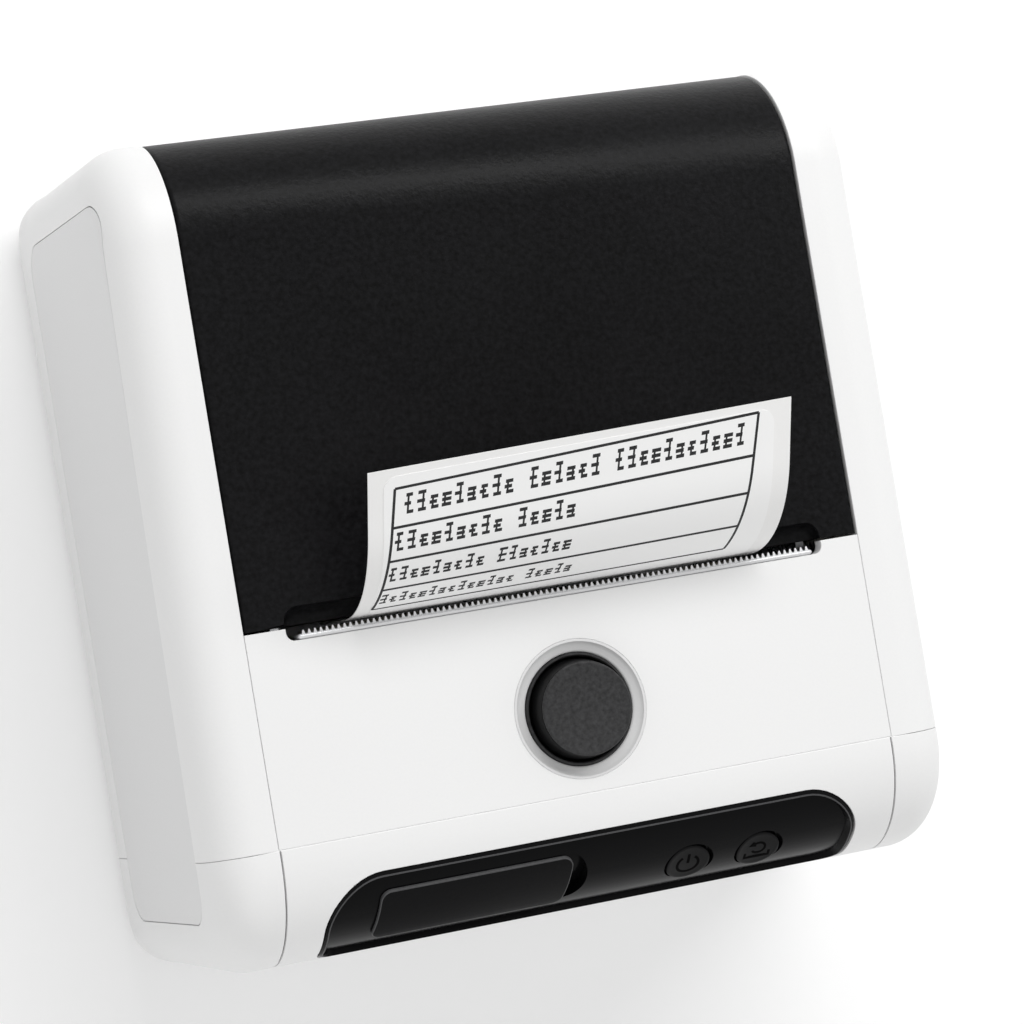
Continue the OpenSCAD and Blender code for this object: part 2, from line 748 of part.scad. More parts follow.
module motor_shaft() {
    color([0.8, 0.8, 0.82]) rod_x(plate_x0 - 8, gear_x1 + 0.2, motor_y, motor_z, 0.75);
}

module motor_pinion() {
    color([0.8, 0.65, 0.3]) gear_x(gear_m, pinion_teeth, motor_y, motor_z,
        pinion_turn, gear_x0, gear_x1, 0.75);
}

// Turn each gear so that its teeth stand in the next one's gaps.
platen_dir = atan2(idler_z - platen_z, idler_y + platen_y);
idler_in = atan2(platen_z - idler_z, -platen_y - idler_y);
idler_turn = idler_in;
platen_turn = platen_dir + 180/platen_teeth;
motor_dir = atan2(motor_z - idler_z, motor_y - idler_y);
motor_phase = (motor_dir - idler_turn)/(360/idler_teeth);
pinion_turn = motor_dir + 180 + 180/pinion_teeth
    + (motor_phase - floor(motor_phase))*360/pinion_teeth;

module idler_gear() {
    color([0.9, 0.88, 0.82]) gear_x(gear_m, idler_teeth, idler_y, idler_z,
        idler_turn, gear_x0, gear_x1, 1.3);
}

module idler_post() {
    color([0.8, 0.8, 0.82]) {
        rod_x(plate_x0 - 0.3, gear_x1 + 0.3, idler_y, idler_z, 1.25);
        difference() {
            rod_x(plate_x1, gear_x0 - 0.15, idler_y, idler_z, 2.2);
            rod_x(plate_x0, gear_x1, idler_y, idler_z, 1.2);
        }
    }
}

module tear_bar() {
    n = 2*tear_teeth;
    half = slot_half - 0.5;
    p = 2*half/n;
    color([0.85, 0.86, 0.87]) union() {
        // top lip with its row of teeth
        translate([0, 0, top_z - 0.1]) linear_extrude(height = 0.35) polygon(concat(
            [[half, -slot_y + 0.05], [-half, -slot_y + 0.05]],
            [for (i = [0:n]) [-half + i*p, 0.9 - slot_y]]));
        translate([0, 0, top_z - 0.1]) linear_extrude(height = 0.35)
            for (i = [0:n - 1]) translate([-half + (i + 0.5)*p, 0.88 - slot_y])
                polygon([[-0.42*p, 0], [0.42*p, 0], [0.08*p, 0.42], [-0.08*p, 0.42]]);
        // web and hidden leg under the front cover
        span([-half, -slot_y + 0.05, top_z - 3.2], [half, -slot_y + 0.65, top_z]);
        span([-half, collar_r + 0.55 - release_y, top_z - 3.2], [half, -slot_y + 0.2, top_z - 2.5]);
    }
}

// ---------- release button ----------

module button_ring() {
    hole = bore_r + 0.65;
    at_release() color([0.85, 0.85, 0.86]) rotate_extrude($fn = 128)
        polygon([[hole, -3.3], [ring_r, -3.3], [ring_r, -0.05],
                 [ring_r - 0.5, 0], [hole + 0.75, -0.6], [hole, -0.75]]);
}

// Bore of the sleeve that the large button slides in, its floor, which the skirt
// stays clear of when pressed, and the button's tip behind it, from the front face.
bore_r = release_r + 0.35;
sleeve_floor = -7.3 - release_travel;
button_tip = sleeve_floor - 5.2;

// Move to the middle of the release button, on the front face.
module at_release() {
    translate([0, -release_y, top_z]) children();
}

module button_sleeve() {
    at_release() color([0.1, 0.1, 0.11]) rotate_extrude($fn = 96)
        polygon([[3.3, sleeve_floor - 1.2], [bore_r + 0.55, sleeve_floor - 1.2],
                 [bore_r + 0.55, -7], [9.4, -7], [9.4, -6.1],
                 [bore_r + 0.55, -6.1], [bore_r + 0.55, -0.6], [bore_r + 0.25, -0.4],
                 [bore_r, -0.6], [bore_r, sleeve_floor], [3.3, sleeve_floor]]);
}

module release_button() {
    top = 2.8;
    at_release() color([0.1, 0.1, 0.11]) rotate_extrude($fn = 96)
        polygon([[0, button_tip], [2.4, button_tip], [2.4, sleeve_floor - 2.25],
                 [2.1, sleeve_floor - 2.25], [2.1, sleeve_floor - 1.45],
                 [2.9, sleeve_floor - 1.45], [2.9, -2.8], [5.6, -2.8], [5.6, -5.6], [release_r, -5.6],
                 [release_r, top - 0.9], [release_r - 0.9, top], [0, top]]);
}

module release_clip() {
    at_release() translate([0, 0, sleeve_floor - 2.2]) color([0.6, 0.6, 0.62]) difference() {
        cylinder(r = 4.4, h = 0.7, $fn = 48);
        translate([0, 0, -1]) cylinder(r = 2.1, h = 3, $fn = 32);
        span([-1.4, 0, -1], [1.4, 6, 2]);
    }
}

module release_spring() {
    at_release() translate([0, 0, sleeve_floor]) color([0.7, 0.7, 0.72])
        coil(4.2, 0.6, -2.8 - sleeve_floor, 5);
}

// ---------- power and electronics ----------

// The tray stands between the control end and the tub, under the mechanism.
tray_half = platen_half - 3.5;
tray_y0 = 7.1 - hl;
tray_y1 = -platen_y - 7.2;
tray_z = in_z + 0.4;
tray_top = platen_z + base_lo - 0.1;
// the two cells take the room that the tray leaves them
cell_half = tray_half - 1.8;
cell_r = min((tray_top - tray_z - 1.3)/2, (tray_y1 - tray_y0 - 1.7)/4);
cell_y = [tray_y1 - cell_r - 0.6, tray_y0 + cell_r + 0.6];
cell_z = tray_z + 0.8 + cell_r;
// the main board stands on the tray's posts
board_half = tray_half + 2;
board_y0 = 4.2 - hl;
board_y1 = frame_y0 - 1.2 - platen_y;
board_z = tray_top + 2.1;
board_t = 1.2;
post_y = [board_y0 + 4.4, board_y1 - 2.4];

// Places of the board's four posts.
module at_posts() {
    for (x = [-1, 1], y = post_y) translate([x*(tray_half - 1), y, board_z]) children();
}

module battery_tray() {
    color([0.16, 0.16, 0.17]) difference() {
        union() {
            span([-tray_half, tray_y0, tray_z], [tray_half, tray_y1, tray_top]);
            at_posts() translate([0, 0, -5]) cylinder(r = 1.9, h = 5, $fn = 32);
            at_mech_screws() translate([0, 0, tray_z])
                cylinder(r = 2.2, h = tray_top - tray_z, $fn = 32);
        }
        at_mech_screws() translate([0, 0, tray_top - 4.9]) cylinder(r = 1.0, h = 10, $fn = 24);
        for (y = cell_y) {
            rod_x(-cell_half, cell_half, y, cell_z, cell_r + 0.2);
            span([-cell_half, y - cell_r + 2, cell_z], [cell_half, y + cell_r - 2, tray_top + 1]);
        }
        at_posts() translate([0, 0, -4]) cylinder(r = 0.8, h = 5, $fn = 24);
    }
}

module battery_cells() {
    color([0.2, 0.4, 0.65]) for (y = cell_y) {
        rod_x(0.7 - cell_half, cell_half - 1.2, y, cell_z, cell_r);
        rod_x(cell_half - 2.2, cell_half - 0.3, y, cell_z, 3);
    }
}

module main_board() {
    color([0.05, 0.3, 0.18]) difference() {
        span([-board_half, board_y0, board_z], [board_half, board_y1, board_z + board_t]);
        at_posts() translate([0, 0, -1]) cylinder(r = 1, h = 5, $fn = 24);
    }
}

module board_parts() {
    color([0.08, 0.08, 0.09]) {
        translate([0, board_y0, board_z + board_t]) {
            // processor, memory and a coil
            span([-6, 7.8, 0], [6, 19.8, 1.2]);
            span([13, 4.8, 0], [20, 10.8, 1.0]);
            span([24, 12.8, 0], [30, 20.8, 2.4]);
            // plug of the switch cable
            span([-24, 2.8, 0], [-12, 7.8, 4]);
            for (x = [24, 31]) translate([x, 5.8, 0]) cylinder(r = 3, h = 6, $fn = 32);
        }
        // connector of the head cable
        translate([0, board_y1, board_z + board_t]) span([-32, -5.6, 0], [-6, -1.8, 1]);
        at_posts() translate([0, 0, board_t]) cylinder(r = 1.8, h = 0.8, $fn = 24);
    }
}

module head_cable() {
    z1 = tray_top + 4.3 - platen_z;
    color([0.75, 0.45, 0.15]) at_platen() along_x(-30, -8) polygon([
        [-9.5, -8.9], [-9.5, -19.5], [-11.8, z1 + 0.2], [-24.4, z1 + 0.2], [-25, z1], [-27, z1],
        [-27, z1 + 0.3], [-24.8, z1 + 0.3], [-24.2, z1 + 0.5], [-12, z1 + 0.5],
        [-9.8, -19.3], [-9.8, -8.9]]);
}

// ---------- control panel ----------

module control_panel() {
    color([0.07, 0.07, 0.08]) ctrl() difference() {
        union() {
            // recessed face
            intersection() {
                end_skin(12.9, 15.1, ctrl_half + 2);
                translate([0, 0, 6]) linear_extrude(height = 12) panel_shape(-0.15);
            }
            // raised rim
            intersection() {
                end_skin(12.9, 15.9, ctrl_half + 2);
                translate([0, 0, 6]) linear_extrude(height = 12) difference() {
                    panel_shape(-0.15);
                    panel_shape(-1.1);
                }
            }
            // flange behind the cap, at the ends and the lower side
            intersection() {
                end_skin(12.6, 13.6, ctrl_half + 3);
                translate([0, 0, 6]) linear_extrude(height = 12) difference() {
                    panel_shape(1.4);
                    translate([0, ctrl_high + 9.85]) square([120, 20], center = true);
                }
            }
            // posts for the switch board
            for (x = [-33, 4, 33]) translate([x, 0, 8.5]) cylinder(r = 1.8, h = 5, $fn = 24);
        }
        // socket opening and finger notch
        translate([flap_x, 0.2, 6]) linear_extrude(height = 12) round_rect(12, 6, 1.5);
        translate([flap_x + flap_w/2 + 2.2, 0.2, 14.2]) linear_extrude(height = 3)
            round_rect(3.6, 8.4, 1.5);
        for (x = [power_x, feed_x]) translate([x, keys_y, 6])
            cylinder(r = small_r + 0.3, h = 12, $fn = 64);
        for (x = [-33, 4, 33]) translate([x, 0, 6]) cylinder(r = 0.8, h = 6, $fn = 24);
    }
}

module usb_flap() {
    color([0.09, 0.09, 0.1]) ctrl() {
        intersection() {
            end_skin(15.3, 16.0, ctrl_half);
            translate([flap_x, 0.2, 10]) linear_extrude(height = 8)
                round_rect(flap_w, flap_h, 2.4);
        }
        difference() {
            translate([flap_x, 0.2, 13.2]) linear_extrude(height = 2.4) round_rect(8.6, 3, 1.2);
            end_skin(15.6, 20, 40);
        }
    }
}

module small_button(x) {
    color([0.09, 0.09, 0.1]) ctrl() translate([x, keys_y, 0]) rotate_extrude($fn = 64)
        polygon([[0, 11.2], [small_r + 0.6, 11.2],
                 [small_r + 0.6, 11.45], [small_r, 11.45], [small_r, 15.0],
                 [small_r - 0.4, 15.35], [0, 15.05]]);
}

module power_button() {
    small_button(power_x);
}

module feed_button() {
    small_button(feed_x);
}

module switch_board() {
    color([0.05, 0.3, 0.18]) ctrl() difference() {
        translate([0, 0, 7.3]) linear_extrude(height = 1.2) round_rect(74, 13, 1);
        for (x = [-33, 4, 33]) translate([x, 0, 6]) cylinder(r = 1, h = 6, $fn = 24);
    }
}

module switch_cable() {
    z0 = board_z + board_t + 0.05 - arc_z;
    color([0.85, 0.85, 0.86]) translate([0, -arc_y, arc_z]) along_x(-8, 2) polygon([
        [-10.6, -5.4], [-10.9, -8], [-10.6, -11], [-9.4, -14.8], [-9.4, z0], [-8.9, z0],
        [-8.9, -14.8], [-10.1, -11], [-10.4, -8], [-9.8, -4.9], [-7.2, -3.0], [-7.5, -2.5]]);
}

module panel_screws() {
    color([0.5, 0.5, 0.52]) ctrl() for (x = [-33, 4, 33])
        translate([x, 0, 6.4]) screw(1.7, 0.9, 0.8, 4);
}

module switches() {
    color([0.3, 0.3, 0.31]) ctrl() for (x = [power_x, feed_x]) translate([x, keys_y, 8.5]) {
        translate([-3, -3, 0]) cube([6, 6, 1.8]);
        cylinder(r = 1.5, h = 2.1, $fn = 32);
    }
}

module usb_socket() {
    color([0.75, 0.75, 0.77]) ctrl() translate([flap_x, 0.2, 8.5]) difference() {
        linear_extrude(height = 3.9) round_rect(9, 3.2, 1.5);
        translate([0, 0, 0.8]) linear_extrude(height = 4) difference() {
            round_rect(8.3, 2.5, 1.2);
            square([6.7, 0.7], center = true);
        }
    }
}

// ---------- lid and what it carries ----------

module lid() {
    zt = top_z - lid_drop;
    color([0.08, 0.08, 0.09]) difference() {
        union() {
            intersection() {
                difference() {
                    along_x(-lid_half, lid_half)
                        soft_rect(-hl + lid_drop, hl - lid_drop, 10, zt, 8, end_r - lid_drop);
                    along_x(-lid_half - 1, lid_half + 1)
                        soft_rect(-hl, hl - lid_drop - lid_wall, 5, zt - lid_wall, 8,
                                  end_r - lid_drop - lid_wall);
                }
                span([-lid_half, -lid_edge_y, hinge_z], [lid_half, hl, top_z]);
            }
            // side edges turned in towards the case
            for (x = [-lid_half, lid_half - 1.2]) intersection() {
                along_x(x, x + 1.2)
                    soft_rect(-hl, hl - lid_drop, 5, zt, 8, end_r - lid_drop);
                span([-lid_half, 8.6 - platen_y, zt - 6], [lid_half, arc_y, zt]);
            }
            rod_x(-lid_half, lid_half, hinge_y, hinge_z, knuckle_r);
        }
        for (x = [-lid_half - 1, pin_x0 - 0.5])
            rod_x(x, x + lid_half + 1.5 - pin_x0, hinge_y, hinge_z, pin_r + 0.05);
        // scoop along the slot
        translate([-slot_half, -lid_edge_y - 0.4, zt + 0.6]) rotate([0, 90, 0])
            cylinder(r = 2.9, h = 2*slot_half, $fn = 64);
    }
}

// Radius of the bushings that carry the roller in the lid.
bush_r = 3;
// Inner face of the two ears that hold the bushings.
ear_x0 = plate_x1 + 0.8;

module lid_inner() {
    zb = lid_under;
    ear_ht = zb - platen_z - 0.5;
    color([0.12, 0.12, 0.13]) difference() {
        union() {
            difference() {
                span([-ear_x0 - 1.6, -platen_y - 3.6, zb - 1.6], [ear_x0 + 1.6, hl - 19, zb]);
                span([-platen_half - 1.5, 8.6 - platen_y, zb - 1],
                     [platen_half + 1.5, hl - 23, zb + 1]);
            }
            for (x = [-ear_x0 - 1.6, ear_x0]) {
                along_x(x, x + 1.6) translate([-platen_y, platen_z]) union() {
                    circle(r = 4.2, $fn = 64);
                    translate([-4.2, 0]) square([10, ear_ht]);
                }
            }
            // ribs
            for (x = [-20, 0, 20])
                span([x - 0.6, 8.6 - platen_y, zb - rib_ht], [x + 0.6, hl - 23, zb - 0.5]);
        }
        rod_x(-hw, hw, -platen_y, platen_z, bush_r);
        // room for the roller
        at_platen() span([-platen_half - 0.7, -7.4, -9.5],
                         [platen_half + 0.7, 5.6, platen_r + 0.4]);
    }
}

module bushings() {
    len = 4;
    color([0.8, 0.65, 0.3]) difference() {
        for (x = [-platen_half - 1.3 - len, platen_half + 1.3])
            rod_x(x, x + len, -platen_y, platen_z, bush_r);
        rod_x(-hw, hw, -platen_y, platen_z, 2.05);
    }
}

module platen_shaft() {
    color([0.8, 0.8, 0.82]) union() {
        rod_x(-gear_x0 - 0.2, gear_x0, -platen_y, platen_z, 2.0);
        rod_x(gear_x0, gear_x1 + 0.1, -platen_y, platen_z, 1.6);
    }
}

module platen_rubber() {
    color([0.1, 0.1, 0.1]) difference() {
        rod_x(-platen_half, platen_half, -platen_y, platen_z, platen_r);
        rod_x(-hw, hw, -platen_y, platen_z, 2.0);
    }
}

module platen_gear() {
    color([0.9, 0.88, 0.82]) gear_x(gear_m, platen_teeth, -platen_y, platen_z,
        platen_turn, gear_x0, gear_x1, 1.6);
}

// Strip profile in (Y, Z): upright, then curling over the lid.
strip_low = top_z - 4.4;
strip_z0 = top_z - lid_drop - 3.2;
strip_a = 62;
strip_end = 9.5;
strip_n = 24;

// Point of the curl after step i, moved inwards by off.
function strip_pt(i, off) = let (a = i*strip_a/strip_n)
    [web_y + curl_r - (curl_r - off)*cos(a), strip_z0 + (curl_r - off)*sin(a)];

// Closed outline of a strip from step i0 of the curl to the end of its straight tail.
function strip_line(off, t, i0, tail) = concat(
    [for (i = [i0:strip_n]) strip_pt(i, off)],
    [strip_pt(strip_n, off) + tail*[sin(strip_a), cos(strip_a)]],
    [strip_pt(strip_n, off + t) + tail*[sin(strip_a), cos(strip_a)]],
    [for (i = [strip_n:-1:i0]) strip_pt(i, off + t)]);

module label_strip() {
    color([0.97, 0.97, 0.96]) along_x(-media_w/2, media_w/2)
        polygon(concat([[web_y, strip_low]], strip_line(0, web_t, 0, strip_end),
                       [[web_y + web_t, strip_low]]));
}

module label_sticker() {
    color([0.99, 0.99, 0.99]) along_x(-media_w/2 + 2.6, media_w/2 - 2.6)
        polygon(strip_line(-0.1, 0.1, 4, strip_end - 3));
}

main_case();
bottom_cap();
front_cover();
side_panel_left();
side_panel_right();
roll_tub();
feet();
case_screws();
rating_plate();
hinge_pins();
button_ring();
button_sleeve();
release_button();
release_clip();
release_spring();
tear_bar();
mech_bracket();
heat_sink();
print_head();
head_springs();
spring_cups();
head_rod();
motor();
motor_shaft();
motor_pinion();
idler_gear();
idler_post();
head_cable();
main_board();
board_parts();
battery_tray();
battery_cells();
control_panel();
usb_flap();
power_button();
feed_button();
switch_board();
switch_cable();
panel_screws();
mech_screws();
switches();
usb_socket();
gap_sensor();
guide_left();
guide_right();
guide_pinion();
label_roll();
roll_core();
web();
lid();
lid_inner();
bushings();
platen_shaft();
platen_rubber();
platen_gear();
label_strip();
label_sticker();
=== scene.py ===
import json
from math import cos, pi, radians, sin, sqrt, tan

import bmesh
import bpy
from bpy.props import BoolProperty, FloatProperty, FloatVectorProperty, IntProperty, PointerProperty
from mathutils import Matrix, Vector


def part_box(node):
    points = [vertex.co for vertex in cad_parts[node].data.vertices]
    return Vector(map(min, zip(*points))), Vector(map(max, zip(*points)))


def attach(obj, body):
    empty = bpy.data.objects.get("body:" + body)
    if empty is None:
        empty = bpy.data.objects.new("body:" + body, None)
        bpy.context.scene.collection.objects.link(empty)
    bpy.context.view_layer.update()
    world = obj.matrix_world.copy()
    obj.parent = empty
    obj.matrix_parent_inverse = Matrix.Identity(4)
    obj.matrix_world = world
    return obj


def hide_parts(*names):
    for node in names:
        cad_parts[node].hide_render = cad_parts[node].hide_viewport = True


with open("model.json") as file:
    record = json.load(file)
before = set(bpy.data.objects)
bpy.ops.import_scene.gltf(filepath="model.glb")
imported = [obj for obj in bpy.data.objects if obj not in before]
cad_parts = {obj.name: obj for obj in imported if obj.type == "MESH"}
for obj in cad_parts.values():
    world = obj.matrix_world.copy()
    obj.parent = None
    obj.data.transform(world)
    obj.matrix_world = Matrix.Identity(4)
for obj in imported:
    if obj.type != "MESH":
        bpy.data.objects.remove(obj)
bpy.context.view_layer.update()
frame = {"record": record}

bl_info = {
    "name": "Portable Label Printer",
    "version": (1, 0, 0),
    "blender": (4, 5, 0),
    "location": "View3D > Sidebar > Label Printer",
    "description": "Dresses the packed label printer with modelled shells and finishes",
    "category": "Object",
}

MM = 0.001
TOUCH = 0.00002
CASE_LOW, CASE_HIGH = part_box("main_case")
CAP_LOW, CAP_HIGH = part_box("bottom_cap")
COVER_LOW, COVER_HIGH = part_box("front_cover")
LID_LOW, LID_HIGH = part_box("lid")
RING_LOW, RING_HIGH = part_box("button_ring")
BUTTON_LOW, BUTTON_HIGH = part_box("release_button")
STRIP_LOW, STRIP_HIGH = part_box("label_strip")
ROLL_LOW, ROLL_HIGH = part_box("label_roll")

SEAM_Y = CASE_LOW.y - 0.1 * MM
HALF_LONG = CASE_HIGH.y
SOCKET_Y = 0.2 * MM
HALF_WIDE = CASE_HIGH.x
FRONT_Z = CASE_HIGH.z
BACK_Z = CASE_LOW.z


def length(name, value, description, low=0.0):
    """A length property in metres."""
    return FloatProperty(name=name, default=value, min=low, precision=5, subtype="DISTANCE",
                         unit="LENGTH", description=description)


def colour(name, rgb, description):
    """A colour property."""
    return FloatVectorProperty(name=name, default=rgb, size=3, min=0.0, max=1.0,
                               subtype="COLOR", description=description)


class CaseSizes(bpy.types.PropertyGroup):
    """Sizes of the white case and its grey side panels."""
    end_radius: length("End radius", 16 * MM, "Radius of the rounded front edge at both ends")
    back_radius: length("Back radius", 8 * MM, "Radius of the back edge at both ends")
    rail_radius: length("Rail radius", 7 * MM, "Radius of the long edges of both sides")
    back_edge: length("Back edge radius", 3 * MM, "Radius of the long edges at the back")
    wall: length("Wall", 2.2 * MM, "Thickness of the white shells")
    seam: length("Seam", 0.05 * MM, "Gap between two shells at a visible seam")
    rail_inside: length("Rail inside", 46.95 * MM, "Distance from the middle to a rail's inner face")
    opening_low: length("Opening", 31.8 * MM, "Height at which the open front of the case begins")
    panel_depth: length("Panel pocket", 1.0 * MM, "Depth of the pocket of a side panel")
    panel_step: length("Panel step", 0.05 * MM, "How far a side panel lies below the side of the case")
    panel_gap: length("Panel gap", 0.1 * MM, "Gap around a side panel")
    groove: length("Groove", 0.22 * MM, "Width of the grooves that carry on the lid's edges")
    groove_depth: length("Groove depth", 0.2 * MM, "Depth of those grooves")
    edge: length("Edge", 0.12 * MM, "Radius left on every moulded edge of the shells")


class LidSizes(bpy.types.PropertyGroup):
    """Sizes of the black lid."""
    wall: length("Wall", 2.0 * MM, "Thickness of the lid's skin")
    rise: length("Rise", 0.45 * MM, "Height of the lid's skin over the packed lid")
    half_wide: length("Half width", 46.8 * MM, "Half width of the lid")
    side_edge: length("Side edge", 0.7 * MM, "Radius of the lid's long side edges")
    side_depth: length("Side depth", 4.5 * MM, "Depth of the lid's turned-in sides")
    scoop_half: length("Scoop half length", 40.9 * MM, "Half length of the scoop along the slot")
    scoop_wide: length("Scoop width", 2.6 * MM, "Width of the scoop, from the lid's front edge")
    scoop_deep: length("Scoop depth", 2.5 * MM, "Depth of the scoop")
    scoop_corner: length("Scoop corner", 2.1 * MM, "Corner radius of the scoop's ends")
    knuckle: length("Knuckle", 3.0 * MM, "Radius of the hinge knuckle")


class PanelSizes(bpy.types.PropertyGroup):
    """Sizes of the control panel on the rounded end."""
    tilt: FloatProperty(name="Tilt", default=radians(48.6), subtype="ANGLE", unit="ROTATION",
                        description="Angle from the front face to the middle of the panel")
    half_long: length("Half length", 40.85 * MM, "Half length of the panel")
    high: length("Upper reach", 8.4 * MM, "Reach of the panel above its middle")
    low: length("Lower reach", 9.8 * MM, "Reach of the panel below its middle")
    low_corner: length("Lower corners", 3.85 * MM, "Radius of the panel's lower corners")
    gap: length("Gap", 0.15 * MM, "Gap between the panel and its opening")
    face_radius: length("Face radius", 15.1 * MM, "Radius of the recessed face")
    rim_radius: length("Rim radius", 15.95 * MM, "Radius of the top of the rim")
    flap_x: length("Flap place", -18.65 * MM, "Sideways place of the flap's middle", -1.0)
    flap_wide: length("Flap width", 29.0 * MM, "Width of the flap over the socket")
    flap_y: length("Flap height on panel", 0.4 * MM, "Place of the flap's middle up the slope of the panel", -1.0)
    flap_high: length("Flap height", 9.6 * MM, "Height of the flap over the socket")
    power_x: length("Power key", 15.0 * MM, "Sideways place of the power key")
    feed_x: length("Feed key", 26.1 * MM, "Sideways place of the feed key")
    key_y: length("Key height", -1.1 * MM, "Place of both keys up the slope of the panel", -1.0)
    key_radius: length("Key radius", 3.4 * MM, "Radius of the two keys")


class LabelSizes(bpy.types.PropertyGroup):
    """Sizes of the printed label that stands in the slot."""
    curl: length("Curl radius", 20.0 * MM, "Radius of the curl above the slot")
    turn: FloatProperty(name="Turn", default=radians(62), subtype="ANGLE", unit="ROTATION",
                        description="Angle through which the strip curls")
    tail: length("Tail", 9.5 * MM, "Straight length at the strip's end")
    straight: length("Straight", 0.6 * MM, "Upright length below the curl")
    skew: FloatProperty(name="Skew", default=0.05, description="Share by which the right side is longer")
    twist: FloatProperty(name="Twist", default=radians(5), subtype="ANGLE", unit="ROTATION",
                         description="Angle by which the right side curls further")
    lean: length("Lean", 0.8 * MM, "How far the strip's right edge leans outwards at its end")
    line: length("Line", 0.4 * MM, "Width of the printed lines")
    backing: length("Backing", 0.15 * MM, "Thickness of the backing paper")
    sticker: length("Sticker", 0.09 * MM, "Thickness of the label on the backing")


class Finishes(bpy.types.PropertyGroup):
    """Colours of the visible finishes."""
    shell: colour("Shell", (0.87, 0.87, 0.867), "White plastic of the case")
    panel: colour("Panel", (0.8, 0.8, 0.8), "Grey plastic of the side panels")
    lid: colour("Lid", (0.0045, 0.0045, 0.005), "Black plastic of the lid")
    control: colour("Control panel", (0.003, 0.003, 0.0033), "Black plastic of the control panel")
    button: colour("Button", (0.026, 0.026, 0.027), "Black plastic of the release button")
    ring: colour("Ring", (0.74, 0.74, 0.74), "Plastic of the ring around the button")
    paper: colour("Paper", (0.94, 0.94, 0.935), "Label paper")
    print: colour("Print", (0.01, 0.01, 0.011), "Thermal print")


class Studio(bpy.types.PropertyGroup):
    """Light and camera."""
    lens: FloatProperty(name="Lens", default=127.34, min=1.0, unit="CAMERA",
                        description="Focal length of the camera in millimetres")
    key_power: FloatProperty(name="Key", default=5.2, min=0.0, unit="POWER",
                             description="Power of the long key light beyond the hinge end")
    fill_power: FloatProperty(name="Fill", default=1.9, min=0.0, unit="POWER",
                              description="Power of the light at the control end")
    ambient: FloatProperty(name="Ambient", default=0.58, min=0.0,
                           description="Strength of the light from all around")
    floor_lift: FloatProperty(name="Floor lift", default=0.14, min=0.0,
                              description="How far the floor is lifted towards white where it is seen")


def case_sizes():
    return bpy.context.scene.printer_case


def lid_sizes():
    return bpy.context.scene.printer_lid


def panel_sizes():
    return bpy.context.scene.printer_panel


def label_sizes():
    return bpy.context.scene.printer_label


# ---------- mesh tools ----------

def cut_across(bm, axis, at, drop=None):
    """Slice the whole mesh at a plane across an axis. drop "above" or "below" deletes that side."""
    normal = Vector((axis == "X", axis == "Y", axis == "Z"))
    bmesh.ops.bisect_plane(
        bm, geom=bm.verts[:] + bm.edges[:] + bm.faces[:], dist=TOUCH / 10,
        plane_co=normal * at, plane_no=normal,
        clear_outer=drop == "above", clear_inner=drop == "below")


def cut_outline(bm, faces, outline, along):
    """Cut faces along a convex outline that runs anticlockwise seen against along. Returns what lies inside."""
    inside = set(faces)
    for start, end in zip(outline, outline[1:] + outline[:1]):
        outward = (end - start).cross(along).normalized()
        edges = {edge for face in inside for edge in face.edges}
        verts = {vert for face in inside for vert in face.verts}
        cut = bmesh.ops.bisect_plane(
            bm, geom=list(inside) + list(edges) + list(verts), dist=TOUCH / 10,
            plane_co=start, plane_no=outward)
        inside = {item for item in cut["geom"] if isinstance(item, bmesh.types.BMFace)
                  and (item.calc_center_median() - start).dot(outward) < 0}
    return list(inside)


def rounded_outline(corners, steps=8):
    """Points of an anticlockwise outline, from (x, y, radius) corners that each become an arc."""
    points = []
    for index, (x, y, radius) in enumerate(corners):
        corner = Vector((x, y))
        last, following = corners[index - 1], corners[(index + 1) % len(corners)]
        to_last = (Vector(last[:2]) - corner).normalized()
        to_next = (Vector(following[:2]) - corner).normalized()
        half = to_last.angle(to_next) / 2
        centre = corner + (to_last + to_next).normalized() * radius / sin(half)
        spoke = corner + to_last * radius / tan(half) - centre
        for step in range(steps + 1):
            points.append(centre + Matrix.Rotation((pi - 2 * half) * step / steps, 2) @ spoke)
    return points


def box_outline(wide, high, radius, middle=(0.0, 0.0), steps=8):
    """Points of a rectangle with round corners."""
    x, y = middle
    return rounded_outline([(x - wide / 2, y - high / 2, radius), (x + wide / 2, y - high / 2, radius),
                            (x + wide / 2, y + high / 2, radius), (x - wide / 2, y + high / 2, radius)],
                           steps)


def tidy_flat(bm, angle=radians(0.3)):
    """Join the faces that a cut left in one plane."""
    bmesh.ops.remove_doubles(bm, verts=bm.verts, dist=TOUCH / 4)
    bmesh.ops.dissolve_limit(bm, angle_limit=angle, verts=bm.verts, edges=bm.edges)


def pull_edges(bm, edges, move):
    """Extrude edges, and move each new point by move(point)."""
    made = bmesh.ops.extrude_edge_only(bm, edges=edges)["geom"]
    for vert in (item for item in made if isinstance(item, bmesh.types.BMVert)):
        vert.co += move(vert.co.copy())
    return [item for item in made if isinstance(item, bmesh.types.BMEdge)]


def rim_of(faces):
    """Edges that only one of the faces uses."""
    counted = {}
    for face in faces:
        for edge in face.edges:
            counted[edge] = counted.get(edge, 0) + 1
    return [edge for edge, uses in counted.items() if uses == 1]


def push_in(bm, faces, move):
    """Sink faces by a vector, with walls around them."""
    made = bmesh.ops.extrude_face_region(bm, geom=faces)["geom"]
    verts = [item for item in made if isinstance(item, bmesh.types.BMVert)]
    bmesh.ops.translate(bm, vec=move, verts=verts)
    left = [face for face in faces if face.is_valid]
    if left:
        bmesh.ops.delete(bm, geom=left, context="FACES_ONLY")
    return [item for item in made if isinstance(item, bmesh.types.BMFace)]


